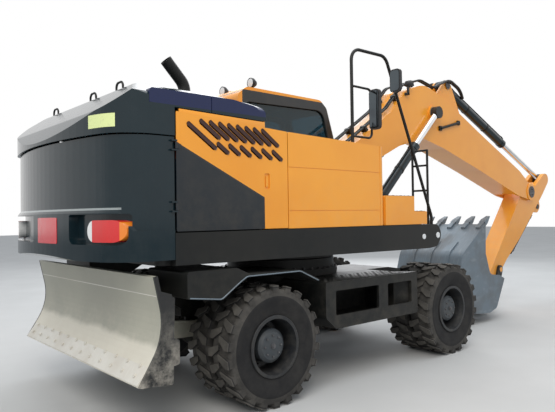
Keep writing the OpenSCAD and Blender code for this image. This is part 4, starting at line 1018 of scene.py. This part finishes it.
def makeChair(look):
    y = look["y"]
    for name, axis, crown, box in look["pads"]:
        pad = addCushion(box, y, axis, crown)
        if name != "chairCushion":
            tilt(pad, *look["hinge"], math.radians(look["backLean"]))
        settle(pad, name, "cloth", "upper", 60)
    low, high = look["foot"]
    step = (high[2] - low[2]) / look["folds"]
    folds = []
    for i in range(look["folds"]):
        fold = addBeside(((*low[:2], low[2] + step * i), (*high[:2], low[2] + step * (i + 1))), y)
        folds.append(roundEdges(fold, step * 0.42, 3))
    foot = settle(folds, "chairFoot", "rubber", "upper")
    console = addBeside(look["console"], y)
    capFaces(console, 0, 1)
    bpy.ops.transform.translate(value=(look["consoleLean"], 0, 0))
    leaveEdit()
    roundEdges(console, 0.020, 3)
    sides = joined([console, roundEdges(addBeside(look["rest"], y), 0.018, 3)])
    consoles = settle([sides, mirrored(sides, y)], "chairConsoles", "trim", "upper")
    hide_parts("operator_seat")
    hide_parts("operator_seat")
    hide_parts("operator_seat")
    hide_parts("operator_seat")


makeChair(chairLook)

gripLook = {"places": ((0.560, 0.490), (0.560, 1.090)), "z": (2.16, 2.31), "radius": 0.026}
monitorLook = {"low": (1.060, 0.440, 1.960), "high": (1.100, 0.640, 2.120), "stem": (1.080, 0.540)}


def makeGrips(look):
    parts = []
    bottom, top = look["z"]
    for x, y in look["places"]:
        grip = addDrum((x, y, (bottom + top) / 2), look["radius"], top - bottom, "Z", 20)
        capFaces(grip, 2, 1)
        bpy.ops.transform.translate(value=(0.02, 0, 0))
        bpy.ops.transform.resize(value=(1.25, 1.25, 1))
        insetPicked(0.010, 0.008)
        leaveEdit()
        parts.append(roundEdges(grip, 0.008, 3))
    settle(parts, "leverGrips", "plastic", "upper")


def makeMonitor(look):
    screen = insetCaps(addBlock(look["low"], look["high"]), 0, -1, (0.012, 0.0), (0.001, -0.006))
    roundEdges(screen, 0.006)
    x, y = look["stem"]
    stem = addRail([(x, y, look["low"][2] + 0.02), (x, y, 1.70), (x, y, 1.457)], 0.016, 0.02)
    settle([screen, stem], "monitor", "trim", "upper")


makeGrips(gripLook)
makeMonitor(monitorLook)

# raised panel on the cab roof
roofLook = {"low": (-0.02, 0.47, 3.236), "high": (1.02, 1.11, 3.258)}


def makeRoofPanel(look):
    panel = bevelAlong(addBlock(look["low"], look["high"]), 2, 0.08, 5)
    insetCaps(panel, 2, 1, (0.05, -0.004), (0.03, 0.006))
    settle(roundEdges(panel, 0.005), "roofPanel", "yellow", "upper")


makeRoofPanel(roofLook)
print("cab dressed inside")

# blank pale sticker on the bowed tail
stickerLook = {"y": (-1.10, -0.86), "z": (2.340, 2.440), "x": -2.95, "proud": 0.002, "thick": 0.001}


def makeSticker(look):
    clearSelection()
    (y0, y1), (z0, z1) = look["y"], look["z"]
    bpy.ops.mesh.primitive_plane_add(
        size=1, location=fromSwing(look["x"], (y0 + y1) / 2, (z0 + z1) / 2), rotation=(0, -math.pi / 2, 0))
    bpy.context.object.scale = (z1 - z0, y1 - y0, 1)
    sticker = keepPlace()
    pick(sticker, lambda face: True)
    bpy.ops.mesh.subdivide(number_cuts=10)
    leaveEdit()
    modified(
        sticker, "SHRINKWRAP", wrap_method="PROJECT", use_project_x=True, use_negative_direction=False,
        use_positive_direction=True, target=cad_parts["hood"], offset=look["proud"])
    modified(sticker, "SOLIDIFY", thickness=look["thick"])
    pick(sticker, lambda face: True)
    bpy.ops.mesh.normals_make_consistent(inside=False)
    leaveEdit()
    settle(sticker, "blankSticker", "paleSticker", "engine_hood", 60)


makeSticker(stickerLook)

# slanted louvre bars over the cooling slots of both side doors, dark red-brown with painted shade, and the door's top
# flange under the hood
louvreLook = {
    "slant": 35, "wide": 0.034, "y": -1.2180, "proud": 0.009, "extra": 0.012, "round": 0.012,
    "bars": [(-2.006, 2.401, 0.310)]
    + [(-1.890 + 0.090 * i, 2.433 - 0.003 * i, 0.215) for i in range(8)]
    + [(-1.727 + 0.117 * i, 2.262 - 0.005 * i, 0.120) for i in range(6)],
}


def makeLouvres(look):
    parts = []
    slant = math.radians(look["slant"])
    y, wide = look["y"], look["wide"]
    for x, z, length in look["bars"]:
        middleX, middleZ = x + length / 2 * math.cos(slant), z - length / 2 * math.sin(slant)
        half = length / 2 + look["extra"]
        bar = addBlock((middleX - half, y - look["proud"], middleZ - wide / 2), (middleX + half, y, middleZ + wide / 2))
        insetCaps(bevelAlong(bar, 1, look["round"], 3), 1, -1, (0.005, -0.004))
        tilt(bar, middleX, middleZ, slant)
        parts.append(bar)
    settlePair(joined(parts), "Louvres", "louvre")


makeLouvres(louvreLook)

flangeLook = {"x": (-2.085, -1.225), "y": (-1.2185, -1.2035), "top": (2.508, 2.486), "foot": (2.465, 2.410)}


def makeFlanges(look):
    # both long edges fall towards the front
    (x0, x1), (y0, y1) = look["x"], look["y"]
    flange = addBlock((x0, y0, look["foot"][0]), (x1, y1, look["top"][0]))
    frontX = x1 + swingX - 0.001
    for level, front in (look["top"], look["foot"]):
        pick(flange, lambda edge: abs(middle(edge)[2] - level) < 0.001 and middle(edge)[0] > frontX, "EDGE")
        bpy.ops.transform.translate(value=(0, 0, front - level))
        leaveEdit()
    settlePair(roundEdges(flange, 0.003), "Flange", "yellow")


makeFlanges(flangeLook)

# non-slip plates with raised lozenges on the steps and the deck boxes
treadRows = {
    # low corner, high corner, level
    "upper": [((0.445, -1.205), (0.930, -0.535), 1.870), ((0.952, -1.205), (1.170, -0.535), 1.700)],
    "undercarriage": [((-0.44, 0.83), (0.79, 1.165), 1.020), ((-0.44, -1.165), (0.79, -0.83), 1.020)],
}
treadLook = {"plate": 0.004, "pitch": 0.062, "length": 0.034, "width": 0.009, "height": 0.004}


def makeTreads(rows, look):
    for body, plates in rows.items():
        parts = []
        for low, high, level in plates:
            top = level + look["plate"]
            parts.append(roundEdges(addBlock((*low, level - 0.001), (*high, top)), 0.002))
            lozenge = addBlock(
                (*low, top - 0.001), (low[0] + look["length"], low[1] + look["width"], top + look["height"]))
            capFaces(lozenge, 2, 1)
            bpy.ops.transform.resize(value=(0.8, 0.5, 1))
            leaveEdit()
            start = fromSwing(low[0] + look["length"] / 2, low[1] + look["width"] / 2, level)
            wide, deep = high[0] - low[0], high[1] - low[1]
            across, along = int(wide / look["pitch"]), int(deep / look["pitch"])
            for i in range(across):
                for j in range(along):
                    turn = Matrix.Rotation(math.radians(45 if (i + j) % 2 else -45), 4, "Z")
                    place = fromSwing(low[0] + (i + 0.5) * wide / across, low[1] + (j + 0.5) * deep / along, level)
                    parts.append(copied(lozenge, Matrix.Translation(place) @ turn @ Matrix.Translation(-start)))
            bpy.data.objects.remove(lozenge)
        settle(parts, body + "Treads", "black", body, 30)


makeTreads(treadRows, treadLook)

# ribbed filler cap, clamp of the exhaust, lock pins of the bucket teeth
capLook = {"place": (-0.300, -0.760), "level": 2.372, "radius": 0.066, "height": 0.030, "ribs": 20}
clampLook = {"place": (-1.590, -0.500, 2.705), "radius": 0.0585, "width": 0.030}
toothLook = {
    "half": 0.555, "edge": 0.060, "teeth": 5, "lip": (3.700, 1.490), "angle": 32.87, "reach": 0.02,
    "radius": 0.012, "length": 0.084,
}


def makeFillerCap(look):
    x, y = look["place"]
    cap = addDrum((x, y, look["level"]), look["radius"], look["height"], "Z", look["ribs"] * 2)
    centre = fromSwing(x, y, look["level"])

    def isRib(face):
        out = middle(face) - centre
        turn = math.atan2(out[1], out[0]) / math.tau * look["ribs"] * 2
        return abs(face.normal[2]) < 0.3 and round(turn - 0.5) % 2 == 0

    pick(cap, isRib)
    insetPicked(0.001, 0.005)
    insetCaps(cap, 2, 1, (0.012, -0.006), (0.018, 0.008))
    settle(cap, "fillerCap", "plastic", "upper", 30)


def makeExhaustClamp(look):
    x, y, z = look["place"]
    edge = y - look["radius"]
    band = addDisc(look["place"], look["radius"], look["width"], "Z", 36, 0, (0.003, -0.003))
    ear = roundEdges(addBlock((x - 0.008, edge - 0.028, z - 0.012), (x + 0.008, edge + 0.01, z + 0.012)), 0.003)
    bolt = addBolt((x + 0.014, edge - 0.016, z), 0.008, 0.012, "X")
    settle([band, ear, bolt], "exhaustClamp", "bolt", "upper")


def makeToothPins(look):
    angle = math.radians(look["angle"])
    x = look["lip"][0] + look["reach"] * math.cos(angle)
    z = look["lip"][1] + look["reach"] * math.sin(angle)
    first = look["edge"] - look["half"]
    pin = addDisc((x, first, z), look["radius"], look["length"], "Y", 14, 0, (0.003, 0.002))
    gap = -2 * first / (look["teeth"] - 1)
    settle(rowOf(pin, (0, gap, 0), look["teeth"]), "toothPins", "bolt", "bucket")


makeFillerCap(capLook)
makeExhaustClamp(clampLook)
makeToothPins(toothLook)
print("small fittings in place")

floorLook = {"size": 120, "drop": 0.002}


def makeFloor(look):
    clearSelection()
    bpy.ops.mesh.primitive_plane_add(size=look["size"], location=(0, 0, -look["drop"]))
    floor = bpy.context.object
    floor.name = "floor"
    floor.data.materials.append(patchy(
        "floorGrey", (0.8, 4, 0.3, 0.7), ((0.56, 0.56, 0.55), (0.51, 0.51, 0.50)), roughness=0.9))


makeFloor(floorLook)
